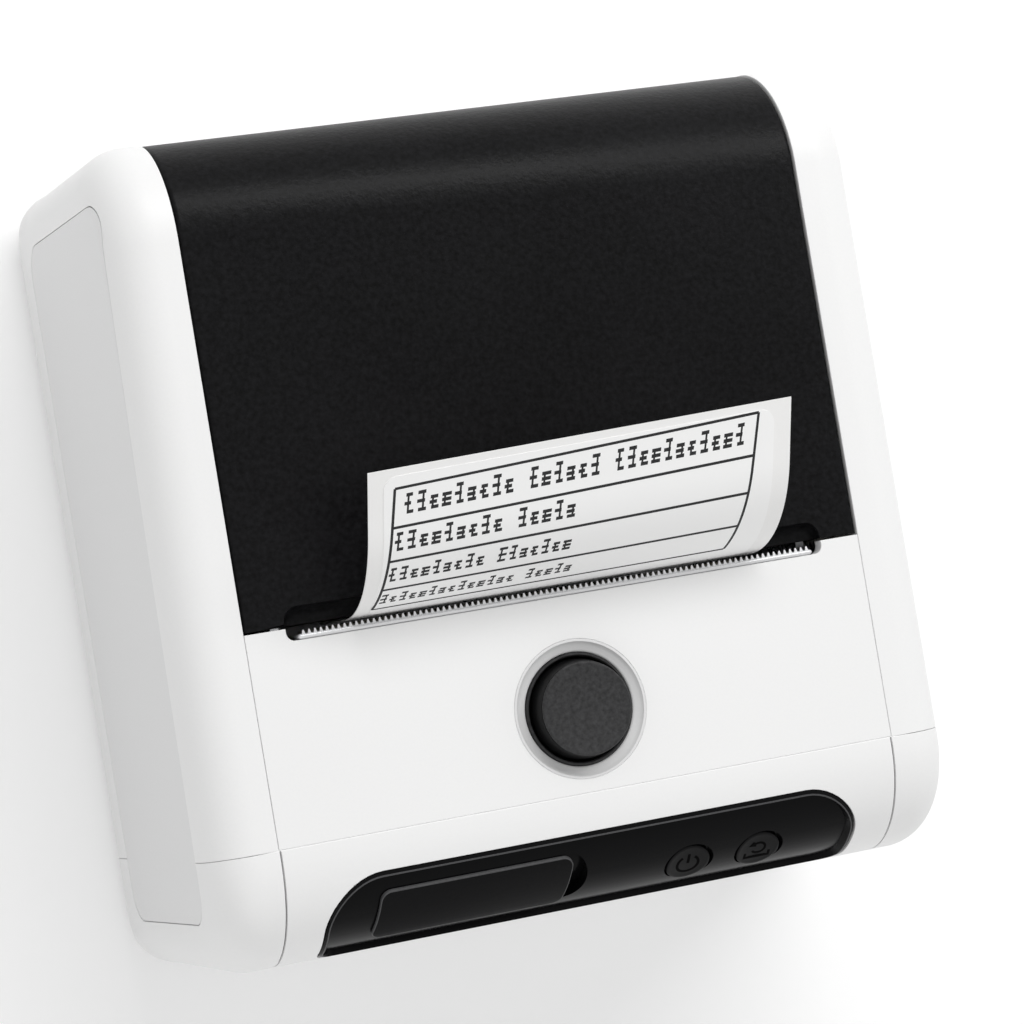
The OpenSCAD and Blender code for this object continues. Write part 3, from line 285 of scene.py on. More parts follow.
def lathe(profile, centre, steps=96, axis=(0, 0, 1)):
    """Closed round piece from (radius, height) points, turned about an axis through centre."""
    bm = bmesh.new()
    turn = Vector((0, 0, 1)).rotation_difference(Vector(axis)).to_matrix()
    verts = [bm.verts.new(turn @ Vector((radius, 0, height)) + Vector(centre))
             for radius, height in profile]
    edges = [bm.edges.new(pair) for pair in zip(verts, verts[1:])]
    bmesh.ops.spin(bm, geom=verts + edges, cent=centre, axis=axis, dvec=(0, 0, 0),
                   angle=2 * pi, steps=steps, use_merge=True)
    bmesh.ops.remove_doubles(bm, verts=bm.verts, dist=TOUCH / 4)
    bmesh.ops.recalc_face_normals(bm, faces=bm.faces)
    return bm


def arc_points(centre, radius, start, end, steps):
    """Points of an arc in a profile, from one angle to another."""
    return [(centre[0] + radius * cos(start + (end - start) * step / steps),
             centre[1] + radius * sin(start + (end - start) * step / steps))
            for step in range(steps + 1)]


def rounded_bar(bm, low, high, radius=0.0, segments=2):
    """Add a box between two corners with all its edges rounded."""
    made = bmesh.ops.create_cube(bm, size=1)["verts"]
    size = Vector(high) - Vector(low)
    bmesh.ops.scale(bm, vec=size, verts=made)
    bmesh.ops.translate(bm, vec=(Vector(low) + Vector(high)) / 2, verts=made)
    if radius > 0:
        edges = list({edge for vert in made for edge in vert.link_edges})
        bmesh.ops.bevel(bm, geom=edges, offset=radius, offset_type="OFFSET", segments=segments,
                        profile=0.5, affect="EDGES", material=-1)


def sharp_edges(bm, faces, angle):
    """Edges inside a set of faces that fold by more than an angle."""
    edges = {edge for face in faces for edge in face.edges}
    return [edge for edge in edges if edge.is_manifold and edge.calc_face_angle(0) > angle]


def add_piece(name, bm, slot, body, stands_for=(), wall=0.0, edge=0.0, crease=radians(38), even=False):
    """Turn a bmesh into a finished piece that rides on a body."""
    mesh = bpy.data.meshes.new(name)
    bm.to_mesh(mesh)
    bm.free()
    mesh.shade_smooth()
    mesh.materials.append(finish(slot))
    piece = bpy.data.objects.new(name, mesh)
    bpy.context.scene.collection.objects.link(piece)
    if wall > 0:
        solid = piece.modifiers.new("Wall", "SOLIDIFY")
        solid.thickness = wall
        solid.offset = -1
        solid.use_even_offset = even
    if edge > 0:
        bevel = piece.modifiers.new("Edge", "BEVEL")
        bevel.width = edge
        bevel.segments = 2
        bevel.limit_method = "ANGLE"
        bevel.angle_limit = crease
        bevel.use_clamp_overlap = False
        bevel.harden_normals = True
    if wall == 0 and edge == 0:
        mesh.set_sharp_from_angle(angle=crease)
    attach(piece, body)
    if stands_for:
        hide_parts(*stands_for)
    return piece


# ---------- white case ----------

def case_block():
    """Closed outer form of the case with every long edge rounded."""
    sizes = case_sizes()
    bm = bmesh.new()
    bmesh.ops.create_cube(bm, size=1)
    bmesh.ops.scale(bm, vec=(2 * HALF_WIDE, 2 * HALF_LONG, FRONT_Z - BACK_Z), verts=bm.verts)
    bmesh.ops.translate(bm, vec=(0, 0, (FRONT_Z + BACK_Z) / 2), verts=bm.verts)
    for radius, segments, height in ((sizes.end_radius, 30, FRONT_Z), (sizes.back_radius, 12, BACK_Z)):
        ends = [edge for edge in bm.edges
                if all(abs(vert.co.z - height) < TOUCH for vert in edge.verts)
                and abs(edge.verts[0].co.x - edge.verts[1].co.x) > HALF_WIDE]
        bmesh.ops.bevel(bm, geom=ends, offset=radius, offset_type="OFFSET", segments=segments,
                        profile=0.5, affect="EDGES", material=-1)
    rim = [edge for edge in bm.edges
           if all(abs(abs(vert.co.x) - HALF_WIDE) < TOUCH for vert in edge.verts)
           and abs(edge.verts[0].co.x - edge.verts[1].co.x) < TOUCH]
    bmesh.ops.bevel(bm, geom=rim, offset=sizes.rail_radius, offset_type="OFFSET", segments=14,
                    profile=0.5, affect="EDGES", material=-1)
    for vert in bm.verts:
        tighten_back(vert, sizes)
    return bm


def tighten_back(vert, sizes):
    """Move a point of the rounded side edges so that their radius gets smaller towards the back."""
    wide = sizes.rail_radius
    across = (abs(vert.co.x) - HALF_WIDE + wide) / wide
    if across < -0.001:
        return
    across = min(max(across, 0.0), 1.0)
    corner = sizes.end_radius if vert.co.z > (FRONT_Z + BACK_Z) / 2 else sizes.back_radius
    reach_y = max(abs(vert.co.y) - HALF_LONG + corner, 0.0)
    if corner == sizes.end_radius:
        reach_z = max(vert.co.z - FRONT_Z + corner, 0.0)
    else:
        reach_z = min(vert.co.z - BACK_Z - corner, 0.0)
    outward = Vector((0, -reach_y if vert.co.y < 0 else reach_y, reach_z))
    if outward.length < TOUCH / 4:
        return
    outward.normalize()
    tight = wide - (wide - sizes.back_edge) * max(-outward.z, 0.0)
    turn_across, turn_in = 1 - across, 1 - sqrt(1 - across ** 2)
    vert.co += outward * (wide - tight) * turn_in
    vert.co.x += (wide - tight) * turn_across * (1 if vert.co.x > 0 else -1)


def panel_outline(side, inset=0.0):
    """Outline of a grey side panel on one side, moved inwards by inset."""
    low, high = BACK_Z + 8.0 * MM + inset, FRONT_Z - 4.8 * MM - inset
    foot, end = -HALF_LONG + 7.5 * MM + inset, HALF_LONG - 8.4 * MM - inset
    lean, fall = -0.5 * MM, 4.4 * MM
    points = rounded_outline([(foot, low, 4.9 * MM), (end, low, 5.5 * MM), (end, high, 4.5 * MM),
                              (foot - lean, high - fall, 4.5 * MM)])
    if side < 0:
        points.reverse()
    return [Vector((side * HALF_WIDE, y, z)) for y, z in points]


def side_faces(bm, side):
    return [face for face in bm.faces if face.calc_center_median().x * side > 0.9 * HALF_WIDE
            or max(vert.co.x * side for vert in face.verts) > HALF_WIDE - TOUCH]


def sink_side_pockets(bm):
    """Pockets for the grey panels in both sides, open where they meet the seam."""
    sizes = case_sizes()
    for side in (-1, 1):
        along = Vector((side, 0, 0))
        inside = cut_outline(bm, side_faces(bm, side), panel_outline(side), along)
        push_in(bm, inside, -along * sizes.panel_depth)
    across = [face for face in bm.faces if max(vert.co.y for vert in face.verts)
              - min(vert.co.y for vert in face.verts) < TOUCH and abs(face.calc_center_median().y - SEAM_Y) < MM]
    bmesh.ops.delete(bm, geom=across, context="FACES")


class PRINTER_OT_case(bpy.types.Operator):
    """Model the main case: the two rails, the back and the hinge end"""
    bl_idname = "printer.case"
    bl_label = "Main Case"

    def execute(self, context):
        sizes = case_sizes()
        bm = case_block()
        cut_across(bm, "Y", SEAM_Y + sizes.seam / 2, drop="below")
        for x in (-sizes.rail_inside, sizes.rail_inside):
            cut_across(bm, "X", x)
        cut_across(bm, "Z", sizes.opening_low)
        opening = [face for face in bm.faces
                   if abs(face.calc_center_median().x) < sizes.rail_inside
                   and face.calc_center_median().z > sizes.opening_low]
        bmesh.ops.delete(bm, geom=opening, context="FACES")
        for side in (-1, 1):
            line = [edge for edge in bm.edges if edge.is_boundary
                    and all(abs(vert.co.x - side * sizes.rail_inside) < TOUCH for vert in edge.verts)
                    and max(vert.co.z for vert in edge.verts) > sizes.opening_low + TOUCH]
            pull_edges(bm, line, lambda point: Vector((0, 0, sizes.opening_low - point.z)))
        sink_side_pockets(bm)
        tidy_flat(bm)
        bmesh.ops.recalc_face_normals(bm, faces=bm.faces)
        add_piece("case_shell", bm, "white_shell", "case", ["main_case"], sizes.wall, sizes.edge)
        return {"FINISHED"}


def panel_point(x, y, height=0.0):
    """Point over the control panel: x along it, y up its slope, height from the curve's axis."""
    sizes, tilt = case_sizes(), panel_sizes().tilt
    axis_y, axis_z = -HALF_LONG + sizes.end_radius, FRONT_Z - sizes.end_radius
    return Vector((x, axis_y + y * cos(tilt) - height * sin(tilt),
                   axis_z + y * sin(tilt) + height * cos(tilt)))


def panel_direction():
    return (panel_point(0, 0, 1) - panel_point(0, 0, 0)).normalized()


def panel_shape(out=0.0):
    """Outline of the control panel, moved outwards: round above, squarer below."""
    sizes = panel_sizes()
    half, high, low = sizes.half_long + out, sizes.high + out, sizes.low + out
    corner = sizes.low_corner + out
    return rounded_outline([(-half, -low, corner), (half, -low, corner), (half, high, high), (-half, high, high)], 12)


def wrap_on_end(bm, radius):
    """Press a flat piece on to the round end: its Z, from zero, becomes the distance over radius."""
    for vert in bm.verts:
        reach = radius + vert.co.z
        vert.co = panel_point(vert.co.x, vert.co.y, sqrt(reach ** 2 - vert.co.y ** 2))


class PRINTER_OT_cap(bpy.types.Operator):
    """Model the bottom cap around the control panel"""
    bl_idname = "printer.cap"
    bl_label = "Bottom Cap"

    def execute(self, context):
        sizes, panel = case_sizes(), panel_sizes()
        bm = case_block()
        cut_across(bm, "Y", SEAM_Y - sizes.seam / 2, drop="above")
        sink_side_pockets(bm)
        groove_x = (LID_HIGH.x + sizes.rail_inside) / 2
        for side in (-1, 1):
            for x in (groove_x - sizes.groove / 2, groove_x + sizes.groove / 2):
                cut_across(bm, "X", side * x)
        cut_across(bm, "Z", BACK_Z + 19.2 * MM)
        bm.normal_update()
        for side in (-1, 1):
            faces = [face for face in bm.faces
                     if abs(face.calc_center_median().x - side * groove_x) < sizes.groove / 2
                     and face.calc_center_median().z > BACK_Z + 19.2 * MM]
            into = {tuple(round(c, 6) for c in vert.co): vert.normal.copy()
                    for face in faces for vert in face.verts}
            made = bmesh.ops.extrude_face_region(bm, geom=faces)["geom"]
            for vert in (item for item in made if isinstance(item, bmesh.types.BMVert)):
                vert.co -= into[tuple(round(c, 6) for c in vert.co)] * sizes.groove_depth
            left = [face for face in faces if face.is_valid]
            if left:
                bmesh.ops.delete(bm, geom=left, context="FACES_ONLY")
        outline = panel_shape(panel.gap)
        faces = [face for face in bm.faces
                 if (face.calc_center_median() - panel_point(0, 0)).dot(panel_direction()) > 8 * MM
                 and face.calc_center_median().y < -HALF_LONG + sizes.end_radius]
        opening = cut_outline(bm, faces, [panel_point(x, y, sizes.end_radius) for x, y in outline],
                              panel_direction())
        bmesh.ops.delete(bm, geom=opening, context="FACES")
        tidy_flat(bm)
        add_piece("cap_shell", bm, "white_shell", "case", ["bottom_cap"], sizes.wall, sizes.edge)
        return {"FINISHED"}


class PRINTER_OT_side_panels(bpy.types.Operator):
    """Model the two grey side panels in their pockets"""
    bl_idname = "printer.side_panels"
    bl_label = "Side Panels"

    def execute(self, context):
        sizes = case_sizes()
        for side, word in ((-1, "left"), (1, "right")):
            bm = case_block()
            along = Vector((side, 0, 0))
            inside = cut_outline(bm, side_faces(bm, side), panel_outline(side, sizes.panel_gap), along)
            keep = set(inside)
            bmesh.ops.delete(bm, geom=[face for face in bm.faces if face not in keep], context="FACES")
            bmesh.ops.translate(bm, vec=-along * sizes.panel_step, verts=bm.verts)
            tidy_flat(bm)
            add_piece("side_plate_" + word, bm, "grey_panel", "case", ["side_panel_" + word],
                      sizes.panel_depth - 0.2 * MM, 0.06 * MM)
        return {"FINISHED"}


class PRINTER_OT_front_cover(bpy.types.Operator):
    """Model the white front cover with its paper slot and button hole"""
    bl_idname = "printer.front_cover"
    bl_label = "Front Cover"

    def execute(self, context):
        sizes, lid = case_sizes(), lid_sizes()
        bm = bmesh.new()
        bmesh.ops.create_grid(bm, x_segments=1, y_segments=1, size=0.5)
        bmesh.ops.scale(bm, vec=(2 * sizes.rail_inside - 2 * sizes.seam, COVER_HIGH.y - COVER_LOW.y, 1),
                        verts=bm.verts)
        bmesh.ops.translate(bm, vec=(0, (COVER_HIGH.y + COVER_LOW.y) / 2, FRONT_Z), verts=bm.verts)
        up = Vector((0, 0, 1))
        hole = [Vector((RING_HIGH.x + 0.01 * MM, 0, 0))]
        middle = Vector((0, (RING_LOW.y + RING_HIGH.y) / 2, FRONT_Z))
        hole = [Matrix.Rotation(2 * pi * step / 72, 3, "Z") @ hole[0] + middle for step in range(72)]
        bmesh.ops.delete(bm, geom=cut_outline(bm, bm.faces[:], hole, up), context="FACES")
        slot_low = COVER_HIGH.y - 1.8 * MM
        notch = [Vector((x, y, FRONT_Z)) for x, y in
                 box_outline(2 * lid.scoop_half, 8 * MM, 1.2 * MM, (0, slot_low + 4 * MM), 6)]
        bmesh.ops.delete(bm, geom=cut_outline(bm, bm.faces[:], notch, up), context="FACES")
        tidy_flat(bm)
        add_piece("front_plate", bm, "white_shell", "case", ["front_cover"], sizes.wall, sizes.edge)
        return {"FINISHED"}


# ---------- lid ----------

class PRINTER_OT_lid(bpy.types.Operator):
    """Model the black lid: its flat, its rounded end, its side edges, scoop and hinge knuckle"""
    bl_idname = "printer.lid"
    bl_label = "Lid"

    def execute(self, context):
        sizes, case = lid_sizes(), case_sizes()
        arc_y, arc_z = HALF_LONG - case.end_radius, FRONT_Z - case.end_radius
        top, low_y, hinge_z = LID_HIGH.z + sizes.rise, LID_LOW.y, LID_LOW.z + sizes.knuckle
        half = sizes.half_wide
        bm = bmesh.new()
        bmesh.ops.create_grid(bm, x_segments=1, y_segments=1, size=0.5)
        bmesh.ops.scale(bm, vec=(2 * half, arc_y - low_y, 1), verts=bm.verts)
        bmesh.ops.translate(bm, vec=(0, (arc_y + low_y) / 2, top), verts=bm.verts)
        end = [edge for edge in bm.edges if all(vert.co.y > arc_y - TOUCH for vert in edge.verts)]
        spun = bmesh.ops.spin(bm, geom=end + list(end[0].verts), cent=(0, arc_y, arc_z),
                              axis=(-1, 0, 0), dvec=(0, 0, 0), angle=pi / 2, steps=28)
        last = [item for item in spun["geom_last"] if isinstance(item, bmesh.types.BMEdge)]
        pull_edges(bm, last, lambda point: Vector((0, 0, hinge_z - point.z)))
        bmesh.ops.remove_doubles(bm, verts=bm.verts, dist=TOUCH / 4)
        bmesh.ops.recalc_face_normals(bm, faces=bm.faces)
        upward = max(bm.faces, key=lambda face: face.calc_area())
        if upward.normal.z < 0:
            bmesh.ops.reverse_faces(bm, faces=bm.faces)
        flat = [face for face in bm.faces if face.normal.z > 0.999 and face.calc_center_median().y < arc_y]
        scoop = cut_outline(bm, flat, [Vector((x, y, top)) for x, y in box_outline(
            2 * sizes.scoop_half, 2 * sizes.scoop_wide, sizes.scoop_corner, (0, low_y), 6)], Vector((0, 0, 1)))
        steps, so_far = 6, Vector((0, 0))
        for step in range(1, steps + 1):
            turn = pi / 2 * step / steps
            reach = Vector((0.8 * sizes.scoop_wide * (1 - cos(turn)), sizes.scoop_deep * sin(turn)))
            bmesh.ops.inset_region(bm, faces=scoop, thickness=reach.x - so_far.x, depth=so_far.y - reach.y,
                                   use_boundary=False, use_even_offset=True)
            so_far = reach
        front = [edge for edge in bm.edges if edge.is_boundary
                 and all(abs(vert.co.y - low_y) < TOUCH for vert in edge.verts)]
        pull_edges(bm, front, lambda point: Vector((0, 0, FRONT_Z - 4 * MM - point.z)))

        def into_lid(point):
            if point.y <= arc_y:
                return Vector((0, 0, -sizes.side_depth))
            if point.z <= arc_z:
                return Vector((0, -sizes.side_depth, 0))
            return Vector((0, arc_y - point.y, arc_z - point.z)).normalized() * sizes.side_depth

        sides = [edge for edge in bm.edges if edge.is_boundary
                 and all(abs(vert.co.x) > half - TOUCH and vert.co.z > hinge_z - TOUCH for vert in edge.verts)
                 and not all(abs(vert.co.y - low_y) < TOUCH for vert in edge.verts)]
        pull_edges(bm, sides, into_lid)
        bmesh.ops.recalc_face_normals(bm, faces=bm.faces)
        upward = max(bm.faces, key=lambda face: face.calc_area())
        if upward.normal.z < 0:
            bmesh.ops.reverse_faces(bm, faces=bm.faces)
        folds = [edge for edge in bm.edges if edge.is_manifold
                 and all(abs(vert.co.x) > half - TOUCH for vert in edge.verts)
                 and not all(abs(vert.co.y - low_y) < TOUCH for vert in edge.verts)
                 and edge.calc_face_angle(0) > radians(60)]
        bmesh.ops.bevel(bm, geom=folds, offset=sizes.side_edge, offset_type="OFFSET", segments=5,
                        profile=0.5, affect="EDGES", material=-1)
        add_piece("lid_shell", bm, "black_lid", "lid", ["lid"], sizes.wall, 0.12 * MM)
        hinge_y = HALF_LONG - 0.6 * MM - sizes.knuckle
        reach = LID_HIGH.x
        rod = lathe([(0, -reach), (sizes.knuckle - 0.3 * MM, -reach), (sizes.knuckle, -reach + 0.3 * MM),
                     (sizes.knuckle, reach - 0.3 * MM), (sizes.knuckle - 0.3 * MM, reach), (0, reach)],
                    (0, hinge_y, hinge_z), 48, (1, 0, 0))
        add_piece("lid_knuckle", rod, "black_lid", "lid")
        return {"FINISHED"}


# ---------- control panel ----------

def slice_for_bend(bm, half_high, step=0.7 * MM):
    """Give a flat piece enough rows to bend smoothly."""
    rows = int(half_high / step)
    for row in range(-rows, rows + 1):
        cut_across(bm, "Y", row * step)


def flat_plate(outline, thick, low=0.0):
    """Flat closed plate over an outline, from low up to low plus thick."""
    bm = bmesh.new()
    base = bm.faces.new([bm.verts.new((x, y, low)) for x, y in outline])
    made = bmesh.ops.extrude_face_region(bm, geom=[base], use_keep_orig=True)["geom"]
    bmesh.ops.translate(bm, vec=(0, 0, thick),
                        verts=[item for item in made if isinstance(item, bmesh.types.BMVert)])
    bmesh.ops.recalc_face_normals(bm, faces=bm.faces)
    return bm


def flat_ring(outline, width, thick, low=0.0):
    """Flat closed ring inside an outline."""
    bm = bmesh.new()
    base = bm.faces.new([bm.verts.new((x, y, low)) for x, y in outline])
    bm.normal_update()
    bmesh.ops.inset_region(bm, faces=[base], thickness=width, use_boundary=True, use_even_offset=True)
    bmesh.ops.delete(bm, geom=[base], context="FACES_ONLY")
    made = bmesh.ops.extrude_face_region(bm, geom=bm.faces[:], use_keep_orig=True)["geom"]
    bmesh.ops.translate(bm, vec=(0, 0, thick),
                        verts=[item for item in made if isinstance(item, bmesh.types.BMVert)])
    bmesh.ops.recalc_face_normals(bm, faces=bm.faces)
    return bm


def top_face(bm):
    return max(bm.faces, key=lambda face: (round(face.calc_center_median().z, 7), face.calc_area()))


class PRINTER_OT_control_panel(bpy.types.Operator):
    """Model the control panel with its rim, flap, keys and engraved signs"""
    bl_idname = "printer.control_panel"
    bl_label = "Control Panel"

    def execute(self, context):
        sizes = panel_sizes()
        self.make_face(sizes)
        self.make_flap(sizes)
        self.make_keys(sizes)
        return {"FINISHED"}

    def make_face(self, sizes):
        """Recessed face inside a round-edged rim, with a finger notch and two hooded wells, and a paler bead on the
        rim's crest that is a painted highlight.
        """
        deep = 2.2 * MM
        rise = sizes.rim_radius - sizes.face_radius
        bm = flat_plate(panel_shape(), deep + rise, -deep)
        top = top_face(bm)
        edges = list(top.edges)
        bmesh.ops.bevel(bm, geom=edges, offset=0.35 * MM, offset_type="OFFSET", segments=3,
                        profile=0.5, affect="EDGES", material=-1)
        top = top_face(bm)
        bmesh.ops.inset_region(bm, faces=[top], thickness=0.35 * MM, use_even_offset=True)
        bmesh.ops.inset_region(bm, faces=[top], thickness=0.45 * MM, use_even_offset=True)
        bmesh.ops.translate(bm, vec=(0, 0, -rise), verts=top.verts)
        up = Vector((0, 0, 1))
        notch = [Vector((-4.2 * MM + 3.0 * MM * cos(turn), 0.6 * MM + 4.6 * MM * sin(turn), 0))
                 for turn in (2 * pi * step / 36 for step in range(36))]
        sunk = cut_outline(bm, [top_face_at(bm, 0)], notch, up)
        push_in(bm, sunk, (0, 0, -1.7 * MM))
        for x in (sizes.power_x, sizes.feed_x):
            well = [Vector((x, sizes.key_y, 0)) + Matrix.Rotation(2 * pi * step / 40, 3, "Z")
                    @ Vector((sizes.key_radius + 0.42 * MM, 0, 0)) for step in range(40)]
            sunk = cut_outline(bm, [face for face in bm.faces if abs(face.calc_center_median().z) < TOUCH
                                    and face.normal.z > 0.9], well, up)
            push_in(bm, sunk, (0, 0, -1.2 * MM))
        self.open_socket(bm, sizes, deep)
        slice_for_bend(bm, sizes.low, 0.5 * MM)
        bmesh.ops.remove_doubles(bm, verts=bm.verts, dist=TOUCH / 4)
        bmesh.ops.recalc_face_normals(bm, faces=bm.faces)
        wrap_on_end(bm, sizes.face_radius)
        add_piece("control_face", bm, "black_plastic", "case", ["control_panel"], crease=radians(50))
        # The paler bead along the rim's crest is a painted highlight where the rim catches the light.
        bead = flat_ring(panel_shape(-0.42 * MM), 0.2 * MM, 0.3 * MM, rise - 0.26 * MM)
        slice_for_bend(bead, sizes.low, 0.5 * MM)
        wrap_on_end(bead, sizes.face_radius)
        add_piece("rim_highlight_bead", bead, "painted_edge_highlight", "case", crease=radians(50))

    def open_socket(self, bm, sizes, deep):
        """Opening through the face for the plug of a cable."""
        mouth = [Vector((x, y, 0)) for x, y in
                 box_outline(12 * MM, 6 * MM, 1.5 * MM, (sizes.flap_x, SOCKET_Y))]
        bm.normal_update()
        for height, side in ((0, 1), (-deep, -1)):
            level = [face for face in bm.faces if abs(face.calc_center_median().z - height) < TOUCH
                     and face.normal.z * side > 0.9]
            inside = cut_outline(bm, level, mouth, Vector((0, 0, 1)))
            bmesh.ops.delete(bm, geom=inside, context="FACES")
        bmesh.ops.bridge_loops(bm, edges=[edge for edge in bm.edges if edge.is_boundary])

    def make_flap(self, sizes):
        """Soft flap over the socket, with a paler bead round its edge that is a painted highlight where the edge
        catches the light.
        """
        half, high, lean = sizes.flap_wide / 2, sizes.flap_high / 2, 0.5 * MM

        def outline(inset):
            x, y, corner = half - inset, high - inset, 1.6 * MM - inset
            left, right, middle = sizes.flap_x - x, sizes.flap_x + x, sizes.flap_y
            return rounded_outline([(left - lean, middle - y, corner), (right - lean, middle - y, corner),
                                    (right + lean, middle + y, corner), (left + lean, middle + y, corner)])

        # The flap's paler bead is a painted highlight along its edge, not a different plastic.
        for name, slot, inset, rise in (("socket_flap", "soft_black", 0.16 * MM, 0.6 * MM),
                                        ("flap_highlight_bead", "painted_edge_highlight", 0, 0.52 * MM)):
            bm = flat_plate(outline(inset), rise - 0.1 * MM, 0.1 * MM)
            bmesh.ops.bevel(bm, geom=list(top_face(bm).edges), offset=0.1 * MM, offset_type="OFFSET", segments=2,
                            profile=0.5, affect="EDGES", material=-1)
            if inset:
                join_into(bm, flat_plate(box_outline(8.6 * MM, 3.0 * MM, 1.2 * MM, (sizes.flap_x, SOCKET_Y)),
                                         2.1 * MM, -1.9 * MM))
            slice_for_bend(bm, sizes.flap_high * 0.55)
            wrap_on_end(bm, sizes.face_radius)
            if inset:
                add_piece(name, bm, slot, "flap", ["usb_flap"], crease=radians(50))
            else:
                add_piece(name, bm, slot, "flap", crease=radians(50))

    def make_keys(self, sizes):
        """Two dished keys that lean back into their wells, with engraved signs."""
        radius = sizes.key_radius
        profile = [(0, 0.0), (radius * 0.5, 0.04 * MM), (radius * 0.85, 0.14 * MM), (radius - 0.25 * MM, 0.2 * MM),
                   (radius - 0.07 * MM, 0.14 * MM), (radius, 0.0), (radius, -2.4 * MM), (0, -2.4 * MM)]
        for x, name in ((sizes.power_x, "power"), (sizes.feed_x, "feed")):
            bm = lathe(profile, (0, 0, 0), 48)
            self.seat_key(bm, x, sizes)
            add_piece(name + "_key", bm, "key_black_and_cap_shade", name, [name + "_button"])
            bm = bmesh.new()
            for stroke in self.sign_strokes(name):
                part = flat_plate([(x0 * MM, y0 * MM) for x0, y0 in stroke], 0.05 * MM, -0.02 * MM)
                for vert in part.verts:
                    vert.co.z += 0.16 * MM * (vert.co.xy.length / radius) ** 2
                join_into(bm, part)
            self.seat_key(bm, x, sizes)
            add_piece(name + "_sign", bm, "key_sign", name)

    def seat_key(self, bm, x, sizes):
        """Lean a key's top back and set it in its well."""
        for vert in bm.verts:
            if vert.co.z > -1 * MM:
                vert.co.z -= 0.4 * MM * (1 + vert.co.y / sizes.key_radius)
        bmesh.ops.translate(bm, vec=(x, sizes.key_y - 0.34 * MM, 0.15 * MM), verts=bm.verts)
        wrap_on_end(bm, sizes.face_radius)

    def sign_strokes(self, name):
        """Strokes of a key's sign, each a small four-cornered outline in millimetres."""
        def arc(middle, radius, start, end, wide, steps):
            turns = [radians(start + (end - start) * step / steps) for step in range(steps + 1)]
            return [[(middle[0] + r * cos(t), middle[1] + r * sin(t)) for r, t in
                     ((radius, a), (radius + wide, a), (radius + wide, b), (radius, b))]
                    for a, b in zip(turns, turns[1:])]

        def bar(x0, y0, x1, y1):
            return [(x0, y0), (x1, y0), (x1, y1), (x0, y1)]

        if name == "power":
            return arc((0, -0.2), 1.45, 125, 415, 0.42, 16) + [bar(-0.21, 0.0, 0.21, 1.8)]
        return (arc((0.1, 0.35), 0.85, -150, 130, 0.38, 14)
                + [bar(-2.1, -1.7, 2.1, -1.3), bar(-2.1, -1.3, -1.7, -0.5), bar(1.7, -1.3, 2.1, -0.5)]
                + [[(-1.5, 0.9), (-0.3, 0.7), (-0.5, 1.5), (-0.9, 1.7)]])


def join_into(bm, part):
    """Add a bmesh to another and free it."""
    mesh = bpy.data.meshes.new("part")
    part.to_mesh(mesh)
    part.free()
    bm.from_mesh(mesh)
    bpy.data.meshes.remove(mesh)


def top_face_at(bm, height):
    """Largest face that looks up at a height."""
    level = [face for face in bm.faces if abs(face.calc_center_median().z - height) < TOUCH
             and face.normal.z > 0.9]
    return max(level, key=lambda face: face.calc_area())


# ---------- release button ----------

class PRINTER_OT_release_button(bpy.types.Operator):
    """Model the round release button, its sleeve and the pale ring around it"""
    bl_idname = "printer.release_button"
    bl_label = "Release Button"

    def execute(self, context):
        middle = Vector((0, (RING_LOW.y + RING_HIGH.y) / 2, FRONT_Z))
        outer, hole = RING_HIGH.x, 8.15 * MM
        ring = [(hole, -3.3 * MM), (outer, -3.3 * MM), (outer, -0.08 * MM)]
        ring += arc_points((outer - 0.08 * MM, -0.08 * MM), 0.08 * MM, 0, pi / 2, 3)[1:]
        ring += [(outer - 0.35 * MM, 0), (outer - 0.55 * MM, -0.2 * MM), (outer - 0.9 * MM, -0.42 * MM),
                 (hole + 0.3 * MM, -0.62 * MM), (hole + 0.1 * MM, -0.68 * MM), (hole, -0.8 * MM),
                 (hole, -3.3 * MM)]
        add_piece("button_bezel", lathe(ring, middle, 128), "ring_grey", "case", ["button_ring"])
        sleeve = [(3.3 * MM, -10 * MM), (8.05 * MM, -10 * MM), (8.05 * MM, -0.62 * MM), (7.92 * MM, -0.46 * MM),
                  (7.72 * MM, -0.44 * MM), (7.55 * MM, -0.6 * MM), (7.5 * MM, -8.8 * MM), (3.3 * MM, -8.8 * MM),
                  (3.3 * MM, -10 * MM)]
        add_piece("button_guide", lathe(sleeve, middle, 96), "button_black", "case", ["button_sleeve"])
        radius, top = BUTTON_HIGH.x, BUTTON_HIGH.z - FRONT_Z
        cap = [(0, top - 0.6 * MM), (0, -14 * MM), (2.4 * MM, -14 * MM), (2.4 * MM, -11.05 * MM), (2.1 * MM, -11.05 * MM),
               (2.1 * MM, -10.25 * MM), (2.9 * MM, -10.25 * MM), (2.9 * MM, -2.8 * MM), (5.6 * MM, -2.8 * MM),
               (5.6 * MM, -5.6 * MM), (radius, -5.6 * MM), (radius, -0.3 * MM),
               (radius - 0.42 * MM, top - 0.45 * MM), (radius - 0.7 * MM, top - 0.6 * MM), (0, top - 0.6 * MM)]
        # The cap's side takes the darker key black while its top takes the button black: one plastic, with the side
        # painted darker as shade.
        add_piece("release_cap", lathe(cap, middle, 112), "key_black_and_cap_shade", "release", ["release_button"])
        face = [(0, top - 0.58 * MM), (radius - 0.66 * MM, top - 0.58 * MM)]
        face += arc_points((radius - 0.74 * MM, top - 0.3 * MM), 0.3 * MM, 0, pi / 2, 5)
        face += [(radius - 0.95 * MM, top - 0.03 * MM), (radius * 0.6, top - 0.2 * MM),
                 (radius * 0.3, top - 0.27 * MM), (0, top - 0.3 * MM)]
        # The top keeps the button's own black; only the cap's side beside it is painted darker as shade.
        add_piece("release_face", lathe(face, middle, 112), "button_black", "release")
        return {"FINISHED"}


# ---------- tear bar and label ----------

